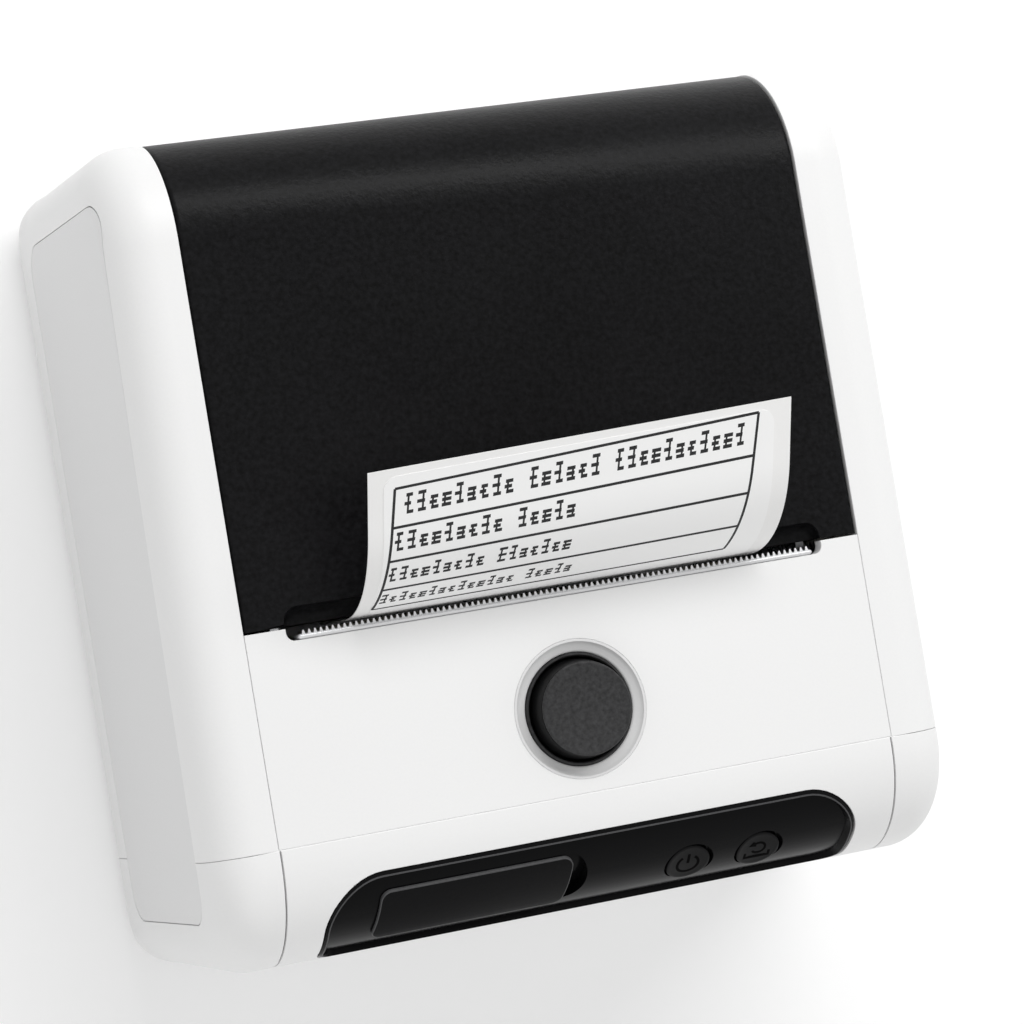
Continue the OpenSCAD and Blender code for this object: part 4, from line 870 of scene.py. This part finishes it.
class PRINTER_OT_tear_bar(bpy.types.Operator):
    """Model the bright tear bar with its row of teeth"""
    bl_idname = "printer.tear_bar"
    bl_label = "Tear Bar"

    def execute(self, context):
        low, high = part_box("tear_bar")
        half = 39.3 * MM
        back = low.y if low.y > -0.0175 else -0.018
        front = high.y
        edge_y = COVER_HIGH.y - 1.75 * MM
        lip = (front - edge_y) - 0.5 * MM
        bm = bmesh.new()
        rounded_bar(bm, (-half, edge_y, high.z - 1.3 * MM), (half, edge_y + lip, high.z), 0.42 * MM, 4)
        rounded_bar(bm, (-half + 0.2 * MM, edge_y + 0.1 * MM, FRONT_Z - 3.2 * MM),
                    (half - 0.2 * MM, edge_y + 0.6 * MM, high.z - 0.5 * MM))
        rounded_bar(bm, (-half + 0.2 * MM, back, FRONT_Z - 3.2 * MM),
                    (half - 0.2 * MM, edge_y + 0.5 * MM, FRONT_Z - 2.5 * MM))
        count = 90
        pitch = 2 * (half - 0.4 * MM) / count
        for index in range(count):
            x = -half + 0.4 * MM + (index + 0.5) * pitch
            made = bmesh.ops.create_cube(bm, size=1)["verts"]
            bmesh.ops.scale(bm, vec=(pitch * 0.72, front - edge_y - lip + 0.3 * MM, 0.4 * MM), verts=made)
            tip = [vert for vert in made if vert.co.y > 0]
            bmesh.ops.scale(bm, vec=(0.25, 1, 0.5), verts=tip)
            bmesh.ops.translate(bm, vec=(x, (front + edge_y + lip - 0.3 * MM) / 2, high.z - 0.32 * MM), verts=made)
        add_piece("tear_blade", bm, "blade_steel", "case", ["tear_bar"])
        return {"FINISHED"}


def strip_point(x, along, over):
    """Point x across the strip, at a distance along it and a height over its printed side.

    The strip's right side is drawn out a little further and curls a little more."""
    sizes = label_sizes()
    across = (x - STRIP_LOW.x) / (STRIP_HIGH.x - STRIP_LOW.x)
    x += sizes.lean * across * max(along, 0) / (sizes.curl * sizes.turn + sizes.tail)
    along *= 1 + sizes.skew * across
    turn = sizes.turn + sizes.twist * across
    start_z = STRIP_LOW.z + sizes.straight
    centre_y = STRIP_LOW.y + sizes.curl
    if along < 0:
        return Vector((x, STRIP_LOW.y - over, start_z + along))
    turned = min(along / sizes.curl, turn)
    extra = along - turned * sizes.curl
    return Vector((x, centre_y - (sizes.curl + over) * cos(turned) + extra * sin(turned),
                   start_z + (sizes.curl + over) * sin(turned) + extra * cos(turned)))


def curl_up(bm):
    """Bend a flat piece, drawn in X and length, along the strip."""
    for vert in bm.verts:
        vert.co = strip_point(*vert.co)


def paper_rows(bm, low, high, step=0.9 * MM):
    rows = int((high - low) / step)
    for row in range(1, rows + 1):
        cut_across(bm, "Y", low + row * step)


class PRINTER_OT_label(bpy.types.Operator):
    """Model the printed strip, its die-cut label and the print on it"""
    bl_idname = "printer.label"
    bl_label = "Printed Label"

    def execute(self, context):
        sizes = label_sizes()
        reach = sizes.curl * sizes.turn + sizes.tail
        half = STRIP_HIGH.x
        bm = flat_plate([(-half, -sizes.straight), (half, -sizes.straight), (half, reach), (-half, reach)],
                        sizes.backing, -sizes.backing)
        paper_rows(bm, -sizes.straight, reach)
        for step in range(1, 12):
            cut_across(bm, "X", -half + 2 * half * step / 12)
        curl_up(bm)
        add_piece("paper_strip", bm, "backing_paper", "lid", ["label_strip"])
        sticker = box_outline(57.6 * MM, 26.6 * MM, 2.0 * MM, (-0.2 * MM, reach - 1.1 * MM - 13.3 * MM), 6)
        bm = flat_plate(sticker, sizes.sticker)
        paper_rows(bm, 0, reach)
        for step in range(1, 12):
            cut_across(bm, "X", -half + 2 * half * step / 12)
        curl_up(bm)
        add_piece("die_cut_label", bm, "label_paper", "lid", ["label_sticker"])
        bm = bmesh.new()
        for corners in self.print_marks(sizes.line / MM):
            part = flat_plate([(x * MM, y * MM) for x, y in corners], 0.012 * MM, sizes.sticker - 0.002 * MM)
            low, high = min(y for x, y in corners) * MM, max(y for x, y in corners) * MM
            left, right = min(x for x, y in corners) * MM, max(x for x, y in corners) * MM
            if high - low > 1.2 * MM:
                paper_rows(part, low, high)
            if right - left > 5 * MM:
                for step in range(1, 10):
                    cut_across(part, "X", left + (right - left) * step / 10)
            curl_up(part)
            join_into(bm, part)
        add_piece("label_print", bm, "thermal_print", "lid")
        return {"FINISHED"}

    def print_marks(self, line):
        """Frame, rules and rows of word-like dashes, as four-cornered outlines in millimetres."""
        def at(across, up):
            """Place on the print: across from 0 to 1, and up from 0, the lowest rule, to 1."""
            left = -28.9 + 1.5 * up, 6.3 + 21.9 * up
            right = 24.0 + 2.2 * up, 7.2 + 22.6 * up
            return left[0] + (right[0] - left[0]) * across, left[1] + (right[1] - left[1]) * across

        def block(x0, up0, x1, up1):
            return [at(x0, up0), at(x1, up0), at(x1, up1), at(x0, up1)]

        thick, wide = line / 22.2 / 2, line / 54 / 2
        marks = [block(0, up - thick, 1, up + thick) for up in (0.0, 0.245, 0.495, 0.735, 1.0)]
        marks += [block(x - wide, 0, x + wide, 1) for x in (0.0, 1.0)]
        rows = ((0.025, 0.0338, 0.79, 0.955, (9, 6, 11)), (0.006, 0.0335, 0.545, 0.7, (9, 5)),
                (0.004, 0.03, 0.3, 0.44, (9, 7)), (0.004, 0.027, 0.06, 0.19, (14, 5)))
        for start, pitch, low, high, words in rows:
            place, tall = start, high - low
            for word, letters in enumerate(words):
                for letter in range(letters):
                    pattern = (letter * 7 + word * 5 + letters) % 6
                    x0, x1 = place + pitch * 0.1, place + pitch * 0.84
                    foot = low + tall * 0.16
                    head = foot + tall * (0.84 if pattern in (1, 4) or letter == 0 else 0.56)
                    bar = tall * 0.14
                    middle = (foot + head) / 2
                    cut = (x1 - x0) * (0.0, 0.25, 0.1, 0.3, 0.15, 0.2)[pattern]
                    marks.append(block(x0 + cut, foot, x1, foot + bar))
                    marks.append(block(x0, middle - bar / 2, x1 - cut, middle + bar / 2))
                    marks.append(block(x0 + cut / 2, head - bar, x1 - cut / 2, head))
                    stem = (x0 + x1) / 2 + (x1 - x0) * (-0.2, 0.1, 0.2, -0.1, 0.15, -0.15)[pattern]
                    marks.append(block(stem - pitch * 0.08, foot, stem + pitch * 0.08, head))
                    place += pitch
                place += pitch
        return marks


# ---------- finishes ----------

def put(tree, socket, value):
    """Link a socket to an input, or write a value into it."""
    if isinstance(value, bpy.types.NodeSocket):
        tree.links.new(value, socket)
    elif socket.type == "RGBA":
        socket.default_value = (*value[:3], 1.0)
    else:
        socket.default_value = value


def node(tree, kind, inputs=(), **settings):
    """Add a node, set it up, and fill its inputs from (socket, value) pairs."""
    made = tree.nodes.new("ShaderNode" + kind)
    for name, value in settings.items():
        setattr(made, name, value)
    for socket, value in inputs:
        put(tree, made.inputs[socket], value)
    return made


def maths(tree, operation, first, second=0.0, third=0.0, clamp=False):
    """Result of a Math node."""
    made = node(tree, "Math", ((0, first), (1, second), (2, third)), operation=operation, use_clamp=clamp)
    return made.outputs[0]


def noise(tree, vector, scale, detail=2.0, rough=0.5):
    """Grey noise over a vector."""
    made = node(tree, "TexNoise", (("Vector", vector), ("Scale", scale), ("Detail", detail),
                                   ("Roughness", rough)))
    return made.outputs["Fac"]


def spread(tree, value, low, high, out_low, out_high):
    """Map a value from one range to another, clamped."""
    made = node(tree, "MapRange", (("Value", value), ("From Min", low), ("From Max", high),
                                   ("To Min", out_low), ("To Max", out_high)))
    return made.outputs["Result"]


def tinted(tree, colour_in, factor):
    """Colour made lighter or darker by a factor."""
    return node(tree, "VectorMath", ((0, colour_in), ("Scale", factor)), operation="SCALE").outputs[0]


def mixed(tree, factor, first, second):
    """Mix of two colours."""
    made = node(tree, "Mix", (("Factor", factor),), data_type="RGBA")
    put(tree, made.inputs[6], first)
    put(tree, made.inputs[7], second)
    return made.outputs[2]


GROUP_SOCKETS = {"Vector": "NodeSocketVector", "Colour": "NodeSocketColor", "Second Colour": "NodeSocketColor"}


def new_group(name, takes, gives):
    """Empty shader group with named inputs and outputs, and its two end nodes."""
    tree = bpy.data.node_groups.new(name, "ShaderNodeTree")
    for socket in takes:
        tree.interface.new_socket(socket, in_out="INPUT", socket_type=GROUP_SOCKETS.get(socket, "NodeSocketFloat"))
    for socket in gives:
        tree.interface.new_socket(socket, in_out="OUTPUT", socket_type=GROUP_SOCKETS.get(socket, "NodeSocketFloat"))
    return tree, tree.nodes.new("NodeGroupInput").outputs, tree.nodes.new("NodeGroupOutput").inputs


def moulded_grain():
    """Spark-eroded grain of moulded plastic, with a faint cloud of tone and gloss."""
    tree, take, give = new_group("Moulded Grain", ("Vector", "Colour", "Roughness", "Grain", "Mottle"),
                                 ("Colour", "Roughness", "Height"))
    fine = noise(tree, take["Vector"], take["Grain"], 3, 0.6)
    coarse = noise(tree, take["Vector"], maths(tree, "MULTIPLY", take["Grain"], 0.35), 2, 0.5)
    cloud = noise(tree, take["Vector"], 24, 2, 0.5)
    height = maths(tree, "ADD", fine, maths(tree, "MULTIPLY", coarse, 0.6))
    lift = maths(tree, "ADD", spread(tree, fine, 0.3, 0.7, -1, 1),
                 spread(tree, cloud, 0.3, 0.7, -0.35, 0.35))
    put(tree, give["Colour"], tinted(tree, take["Colour"], maths(tree, "MULTIPLY_ADD", lift, take["Mottle"], 1)))
    put(tree, give["Roughness"], maths(tree, "ADD", take["Roughness"], spread(tree, cloud, 0.3, 0.7, -0.03, 0.03)))
    put(tree, give["Height"], height)
    return tree


def metal_grain():
    """Fine drawn lines and tarnish of bare metal."""
    tree, take, give = new_group("Drawn Metal", ("Vector", "Colour", "Roughness", "Lines"),
                                 ("Colour", "Roughness", "Height"))
    line = noise(tree, take["Vector"], take["Lines"], 3, 0.6)
    stain = noise(tree, take["Vector"], 90, 3, 0.6)
    tone = maths(tree, "ADD", spread(tree, line, 0.25, 0.75, -0.08, 0.08), spread(tree, stain, 0.3, 0.7, 0.95, 1.03))
    put(tree, give["Colour"], tinted(tree, take["Colour"], tone))
    put(tree, give["Roughness"], maths(tree, "ADD", take["Roughness"],
                                       maths(tree, "ADD", spread(tree, line, 0.25, 0.75, -0.06, 0.06),
                                             spread(tree, stain, 0.3, 0.7, -0.04, 0.08))))
    put(tree, give["Height"], line)
    return tree


def paper_fibre():
    """Short fibres and a faint cloud, as in paper and card."""
    tree, take, give = new_group("Paper Fibre", ("Vector", "Colour", "Second Colour", "Amount"),
                                 ("Colour", "Height"))
    fibre = noise(tree, node(tree, "Mapping", (("Vector", take["Vector"]), ("Scale", (1.0, 0.25, 0.6)))).outputs[0],
                  5200, 3, 0.65)
    cloud = noise(tree, take["Vector"], 160, 3, 0.6)
    mask = maths(tree, "MULTIPLY", spread(tree, maths(tree, "ADD", fibre, cloud), 0.8, 1.25, 0, 1), take["Amount"])
    put(tree, give["Colour"], mixed(tree, mask, take["Colour"], take["Second Colour"]))
    put(tree, give["Height"], fibre)
    return tree


def wound_layers():
    """Edges of paper wound about the X axis, as rings one pitch apart."""
    tree, take, give = new_group("Wound Layers", ("Vector", "Pitch"), ("Shade", "Height"))
    apart = node(tree, "SeparateXYZ", ((0, take["Vector"]),))
    out = maths(tree, "SQRT", maths(tree, "ADD", maths(tree, "POWER", apart.outputs["Y"], 2),
                                    maths(tree, "POWER", apart.outputs["Z"], 2)))
    turns = maths(tree, "DIVIDE", out, take["Pitch"])
    wave = maths(tree, "SINE", maths(tree, "MULTIPLY", turns, 2 * pi))
    uneven = noise(tree, node(tree, "CombineXYZ", ((0, maths(tree, "FLOOR", turns)),)).outputs[0], 3.7, 0)
    put(tree, give["Shade"], maths(tree, "MULTIPLY_ADD", uneven, 0.2, spread(tree, wave, -1, 1, 0.8, 0.98)))
    put(tree, give["Height"], wave)
    return tree


def handling_marks():
    """Fine wiping scratches and finger haze that only change the gloss."""
    tree, take, give = new_group("Handling Marks", ("Vector", "Amount"), ("Roughness",))
    marks = []
    for turn, stretch in ((0.5, 30), (-0.9, 24)):
        turned = node(tree, "Mapping", (("Vector", take["Vector"]), ("Rotation", (0.4, 0.2, turn)),
                                        ("Scale", (stretch, 1, 6))))
        marks.append(spread(tree, noise(tree, turned.outputs[0], 150, 2, 0.5), 0.66, 0.74, 0, 1))
    haze = spread(tree, noise(tree, take["Vector"], 55, 3, 0.6), 0.45, 0.75, 0, 0.5)
    both = maths(tree, "ADD", maths(tree, "MAXIMUM", *marks), haze)
    put(tree, give["Roughness"], maths(tree, "MULTIPLY", both, take["Amount"]))
    return tree


def board_traces():
    """Copper lines and pads under the lacquer of a circuit board."""
    tree, take, give = new_group("Board Traces", ("Vector", "Colour", "Second Colour"), ("Colour", "Height"))
    lines = node(tree, "TexVoronoi", (("Vector", take["Vector"]), ("Scale", 420), ("Randomness", 0.75)),
                 feature="F1", distance="CHEBYCHEV").outputs["Distance"]
    bands = maths(tree, "PINGPONG", maths(tree, "MULTIPLY", lines, 5), 1)
    mask = spread(tree, bands, 0.45, 0.55, 0, 1)
    put(tree, give["Colour"], mixed(tree, mask, take["Colour"], take["Second Colour"]))
    put(tree, give["Height"], mask)
    return tree


GROUPS_MADE = {}


def group_node(tree, maker, inputs):
    """Place a shared group in a material, and make it the first time it is asked for."""
    if maker not in GROUPS_MADE:
        GROUPS_MADE[maker] = maker()
    placed = tree.nodes.new("ShaderNodeGroup")
    placed.node_tree = GROUPS_MADE[maker]
    for socket, value in inputs:
        put(tree, placed.inputs[socket], value)
    return placed.outputs


def blank(name, **constants):
    """New material with constant values on its shader. Gives material, tree, shader and place."""
    material = bpy.data.materials.new(name)
    material.use_nodes = True
    tree = material.node_tree
    shader = tree.nodes["Principled BSDF"]
    for socket, value in constants.items():
        put(tree, shader.inputs[socket.replace("_", " ")], value)
    place = node(tree, "TexCoord").outputs["Object"]
    return material, tree, shader, place


def bump(tree, shader, height, depth):
    """Feed a height, as a depth in metres, to the shader's normal."""
    relief = node(tree, "Bump", (("Strength", 1.0), ("Distance", depth), ("Height", height)))
    put(tree, shader.inputs["Normal"], relief.outputs["Normal"])


def moulded(name, rgb, rough, grain, depth, mottle, specular=0.5, marks=0.0):
    """Moulded plastic or rubber."""
    material, tree, shader, place = blank(name, Specular_IOR_Level=specular)
    made = group_node(tree, moulded_grain, (("Vector", place), ("Colour", rgb), ("Roughness", rough),
                                            ("Grain", grain), ("Mottle", mottle)))
    put(tree, shader.inputs["Base Color"], made["Colour"])
    gloss = made["Roughness"]
    if marks:
        worn = group_node(tree, handling_marks, (("Vector", place), ("Amount", marks)))
        gloss = maths(tree, "ADD", gloss, worn["Roughness"])
    put(tree, shader.inputs["Roughness"], gloss)
    bump(tree, shader, made["Height"], depth)
    return material


def metal(name, rgb, rough, stretch=(1.0, 1.0, 1.0), lines=1500, depth=0.004 * MM, metallic=1.0):
    """Bare or plated metal, drawn along the axis that is stretched least."""
    material, tree, shader, place = blank(name, Metallic=metallic)
    drawn = node(tree, "Mapping", (("Vector", place), ("Scale", stretch))).outputs[0]
    made = group_node(tree, metal_grain, (("Vector", drawn), ("Colour", rgb), ("Roughness", rough),
                                          ("Lines", lines)))
    put(tree, shader.inputs["Base Color"], made["Colour"])
    put(tree, shader.inputs["Roughness"], made["Roughness"])
    bump(tree, shader, made["Height"], depth)
    return material


def paper(name, rgb, fibre_rgb, rough=0.75, amount=0.5, wound=None, depth=0.006 * MM):
    """Paper or card. wound gives the middle and pitch of a roll."""
    material, tree, shader, place = blank(name, Specular_IOR_Level=0.3, Roughness=rough)
    made = group_node(tree, paper_fibre, (("Vector", place), ("Colour", rgb), ("Second Colour", fibre_rgb),
                                          ("Amount", amount)))
    tone, height = made["Colour"], made["Height"]
    if wound:
        middle, pitch = wound
        centred = node(tree, "Mapping", (("Vector", place), ("Location", (0, -middle[0], -middle[1]))))
        layers = group_node(tree, wound_layers, (("Vector", centred.outputs[0]), ("Pitch", pitch)))
        tone = tinted(tree, tone, layers["Shade"])
        height, depth = layers["Height"], 0.03 * MM
    put(tree, shader.inputs["Base Color"], tone)
    bump(tree, shader, height, depth)
    return material


def circuit_board(name):
    """Green lacquered board with copper lines."""
    material, tree, shader, place = blank(name, Roughness=0.3, Specular_IOR_Level=0.5)
    made = group_node(tree, board_traces, (("Vector", place), ("Colour", (0.006, 0.09, 0.035)),
                                           ("Second Colour", (0.014, 0.16, 0.06))))
    put(tree, shader.inputs["Base Color"], made["Colour"])
    bump(tree, shader, made["Height"], 0.03 * MM)
    return material


def ribbon(name, rgb, line_rgb, pitch, rough):
    """Flat cable with conductors side by side along X."""
    material, tree, shader, place = blank(name, Roughness=rough)
    across = maths(tree, "DIVIDE", node(tree, "SeparateXYZ", ((0, place),)).outputs["X"], pitch)
    wave = maths(tree, "PINGPONG", across, 0.5)
    worn = group_node(tree, handling_marks, (("Vector", place), ("Amount", 0.15)))
    put(tree, shader.inputs["Base Color"], mixed(tree, spread(tree, wave, 0.18, 0.26, 0, 1), rgb, line_rgb))
    put(tree, shader.inputs["Roughness"], maths(tree, "ADD", worn["Roughness"], rough))
    bump(tree, shader, wave, 0.08 * MM)
    return material


def make_finish(slot):
    """Material for a material slot of the record, or for a finish that only the scene has."""
    looks = bpy.context.scene.printer_finish
    roll_middle = ((ROLL_LOW.y + ROLL_HIGH.y) / 2, (ROLL_LOW.z + ROLL_HIGH.z) / 2)
    made = {
        "white_shell": lambda: moulded(slot, looks.shell, 0.42, 2600, 0.004 * MM, 0.008, 0.4),
        "grey_panel": lambda: moulded(slot, looks.panel, 0.5, 3000, 0.006 * MM, 0.012, 0.35),
        "black_lid": lambda: moulded(slot, looks.lid, 0.33, 1300, 0.05 * MM, 0.7, 0.08, 0.03),
        "black_plastic": lambda: moulded(slot, looks.control, 0.2, 2600, 0.004 * MM, 0.1, 0.06, 0.05),
        "black_frame": lambda: moulded(slot, (0.014, 0.014, 0.015), 0.5, 1800, 0.012 * MM, 0.15, 0.4),
        "button_black": lambda: moulded(slot, looks.button, 0.5, 1500, 0.03 * MM, 0.5, 0.25),
        # Black of the two keys; on the release cap's side it also stands for painted shade on the button's plastic.
        "key_black_and_cap_shade": lambda: moulded(slot, (0.0045, 0.0045, 0.0048), 0.35, 2600, 0.006 * MM, 0.15, 0.08),
        "key_sign": lambda: moulded(slot, (0.0006, 0.0006, 0.0006), 0.6, 2600, 0.004 * MM, 0.1, 0.02),
        "ring_grey": lambda: moulded(slot, looks.ring, 0.38, 2600, 0.004 * MM, 0.01, 0.4),
        "soft_black": lambda: moulded(slot, (0.005, 0.005, 0.0053), 0.6, 2200, 0.012 * MM, 0.15, 0.06),
        # Lighter grey for the beads on the flap and rim: a painted highlight of edges catching the light.
        "painted_edge_highlight": lambda: moulded(slot, (0.055, 0.055, 0.057), 0.5, 2200, 0.006 * MM, 0.15, 0.3),
        "foot_rubber": lambda: moulded(slot, (0.02, 0.02, 0.02), 0.75, 1600, 0.02 * MM, 0.2, 0.3),
        "platen_rubber": lambda: moulded(slot, (0.022, 0.022, 0.023), 0.6, 3600, 0.01 * MM, 0.12, 0.4),
        "gear_nylon": lambda: moulded(slot, (0.74, 0.72, 0.64), 0.42, 1500, 0.005 * MM, 0.03, 0.5),
        "chip_black": lambda: moulded(slot, (0.018, 0.018, 0.02), 0.45, 4200, 0.006 * MM, 0.15, 0.5),
        "switch_grey": lambda: moulded(slot, (0.2, 0.2, 0.21), 0.45, 3000, 0.006 * MM, 0.05, 0.5),
        "cell_wrap": lambda: moulded(slot, (0.03, 0.13, 0.3), 0.3, 500, 0.01 * MM, 0.05, 0.5, 0.08),
        "ceramic_head": lambda: moulded(slot, (0.72, 0.69, 0.6), 0.25, 1200, 0.002 * MM, 0.03, 0.5, 0.05),
        "steel": lambda: metal(slot, (0.56, 0.56, 0.57), 0.26, (0.04, 1, 1)),
        "blade_steel": lambda: metal(slot, (0.66, 0.66, 0.67), 0.34, (0.03, 1, 1), 2600, metallic=0.4),
        "spring_steel": lambda: metal(slot, (0.5, 0.5, 0.51), 0.22),
        "screw_steel": lambda: metal(slot, (0.42, 0.42, 0.44), 0.3),
        "sink_aluminium": lambda: metal(slot, (0.74, 0.75, 0.77), 0.36, (0.05, 1, 1), 900),
        "motor_can": lambda: metal(slot, (0.55, 0.56, 0.58), 0.32, (1, 0.3, 0.3), 1100),
        "gear_brass": lambda: metal(slot, (0.72, 0.52, 0.24), 0.28, (0.2, 1, 1)),
        "bush_brass": lambda: metal(slot, (0.66, 0.47, 0.22), 0.32, (0.2, 1, 1)),
        "socket_metal": lambda: metal(slot, (0.62, 0.62, 0.63), 0.24),
        "plate_foil": lambda: metal(slot, (0.72, 0.72, 0.74), 0.4, (1, 0.05, 1), 2200),
        "label_paper": lambda: paper(slot, looks.paper, [c * 0.985 for c in looks.paper], 0.5),
        "backing_paper": lambda: paper(slot, (0.9, 0.897, 0.89), (0.87, 0.865, 0.85), 0.55),
        "core_card": lambda: paper(slot, (0.46, 0.34, 0.22), (0.33, 0.23, 0.14), 0.85, 0.9,
                                   (roll_middle, 0.5 * MM)),
        "thermal_print": lambda: paper(slot, looks.print, (0.02, 0.02, 0.021), 0.5),
        "wound_paper": lambda: paper(slot, looks.paper, (0.8, 0.79, 0.77), 0.6, 0.5,
                                     (roll_middle, 0.28 * MM)),
        "board_green": lambda: circuit_board(slot),
        "cable_film": lambda: ribbon(slot, (0.32, 0.13, 0.025), (0.5, 0.26, 0.09), 1.0 * MM, 0.3),
        "cable_white": lambda: ribbon(slot, (0.76, 0.76, 0.75), (0.5, 0.5, 0.5), 1.0 * MM, 0.4),
    }
    return made[slot]()


FINISHES = {}
NODE_FINISHES = {"label_roll": "wound_paper"}


def finish(slot):
    """The finish of a material slot, made once."""
    if slot not in FINISHES:
        FINISHES[slot] = make_finish(slot)
    return FINISHES[slot]


class PRINTER_OT_inner_finishes(bpy.types.Operator):
    """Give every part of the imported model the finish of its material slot"""
    bl_idname = "printer.inner_finishes"
    bl_label = "Inner Finishes"

    def execute(self, context):
        for part in frame["record"]["subparts"]:
            name = part["node"]
            slot = NODE_FINISHES.get(name, part["material_slot"])
            mesh = bpy.data.objects[name].data
            if mesh.materials:
                for index in range(len(mesh.materials)):
                    mesh.materials[index] = finish(slot)
            else:
                mesh.materials.append(finish(slot))
        return {"FINISHED"}


# ---------- studio ----------

def background_share(tree):
    """One for the rays that should see the plain pale background."""
    path = node(tree, "LightPath").outputs
    seen = maths(tree, "MAXIMUM", path["Is Camera Ray"], path["Is Glossy Ray"])
    return maths(tree, "MAXIMUM", seen, path["Is Transmission Ray"])


def floor_finish(lift):
    """Pale floor that keeps shadows and is lifted a little where it is seen."""
    material, tree, shader, place = blank("pale_floor", Roughness=0.8, Specular_IOR_Level=0.1)
    made = group_node(tree, moulded_grain, (("Vector", place), ("Colour", (0.9, 0.9, 0.9)), ("Roughness", 0.8),
                                            ("Grain", 40), ("Mottle", 0.002)))
    put(tree, shader.inputs["Base Color"], made["Colour"])
    glow = node(tree, "Emission", (("Color", (1, 1, 1)),
                                   ("Strength", maths(tree, "MULTIPLY", background_share(tree), lift))))
    both = node(tree, "AddShader", ((0, shader.outputs[0]), (1, glow.outputs[0])))
    put(tree, tree.nodes["Material Output"].inputs["Surface"], both.outputs[0])
    return material


class PRINTER_OT_stage(bpy.types.Operator):
    """Set up the floor, the lights and the camera"""
    bl_idname = "printer.stage"
    bl_label = "Studio"

    def execute(self, context):
        studio = context.scene.printer_studio
        right = Vector((0.93174807, -0.16411107, 0.3239029))
        down = Vector((-0.14709514, -0.98615833, -0.07651641))
        ahead = Vector((0.33197673, 0.02364947, -0.94299107))
        camera = bpy.data.objects.new("camera", bpy.data.cameras.new("camera"))
        camera.data.lens = studio.lens
        camera.data.clip_start = 0.01
        turn = Matrix((right, -down, -ahead)).transposed()
        camera.matrix_world = Matrix.Translation((-0.17554, -0.01313, 0.5434)) @ turn.to_4x4()
        context.scene.collection.objects.link(camera)
        context.scene.camera = camera
        context.scene.view_settings.view_transform = "Standard"
        bm = bmesh.new()
        bmesh.ops.create_grid(bm, x_segments=1, y_segments=1, size=2.0)
        mesh = bpy.data.meshes.new("floor")
        bm.to_mesh(mesh)
        bm.free()
        floor = bpy.data.objects.new("floor", mesh)
        context.scene.collection.objects.link(floor)
        mesh.materials.append(floor_finish(studio.floor_lift))
        self.add_light("key", (0.33, 0.62, 0.72), 0.95, (1.0, 0.22), studio.key_power)
        self.add_light("fill", (-0.35, -0.75, 0.6), 1.1, (0.8, 0.8), studio.fill_power)
        world = bpy.data.worlds.new("studio")
        context.scene.world = world
        world.use_nodes = True
        tree = world.node_tree
        shader = tree.nodes["Background"]
        shader.inputs["Color"].default_value = (1, 1, 1, 1)
        put(tree, shader.inputs["Strength"], spread(tree, background_share(tree), 0, 1, studio.ambient, 1))
        return {"FINISHED"}

    def add_light(self, name, direction, away, size, power):
        """Soft light that looks at the middle of the printer from a direction, its first size level."""
        aim = Vector((0, 0, FRONT_Z / 2))
        data = bpy.data.lights.new(name, "AREA")
        data.shape = "RECTANGLE"
        data.size, data.size_y = size
        data.energy = power
        light = bpy.data.objects.new(name, data)
        place = aim + Vector(direction).normalized() * away
        light.matrix_world = (Matrix.Translation(place)
                              @ (aim - place).to_track_quat("-Z", "Y").to_matrix().to_4x4())
        bpy.context.scene.collection.objects.link(light)


class PRINTER_PT_tools(bpy.types.Panel):
    """Lists the pieces of the label printer"""
    bl_label = "Label Printer"
    bl_idname = "PRINTER_PT_tools"
    bl_space_type = "VIEW_3D"
    bl_region_type = "UI"
    bl_category = "Label Printer"

    def draw(self, context):
        for operator in PIECES:
            self.layout.operator(operator.bl_idname)


PIECES = (PRINTER_OT_stage, PRINTER_OT_inner_finishes, PRINTER_OT_case, PRINTER_OT_cap, PRINTER_OT_side_panels,
          PRINTER_OT_front_cover, PRINTER_OT_lid, PRINTER_OT_control_panel, PRINTER_OT_release_button,
          PRINTER_OT_tear_bar, PRINTER_OT_label)
GROUPS = {"printer_case": CaseSizes, "printer_lid": LidSizes, "printer_panel": PanelSizes,
          "printer_label": LabelSizes, "printer_finish": Finishes, "printer_studio": Studio}


def register():
    for group in GROUPS.values():
        bpy.utils.register_class(group)
    for name, group in GROUPS.items():
        setattr(bpy.types.Scene, name, PointerProperty(type=group))
    for operator in PIECES:
        bpy.utils.register_class(operator)
    bpy.utils.register_class(PRINTER_PT_tools)


def unregister():
    bpy.utils.unregister_class(PRINTER_PT_tools)
    for operator in reversed(PIECES):
        bpy.utils.unregister_class(operator)
    for name, group in GROUPS.items():
        delattr(bpy.types.Scene, name)
        bpy.utils.unregister_class(group)


def main():
    register()
    for operator in PIECES:
        module, name = operator.bl_idname.split(".")
        getattr(getattr(bpy.ops, module), name)()


if __name__ == "__main__":
    main()
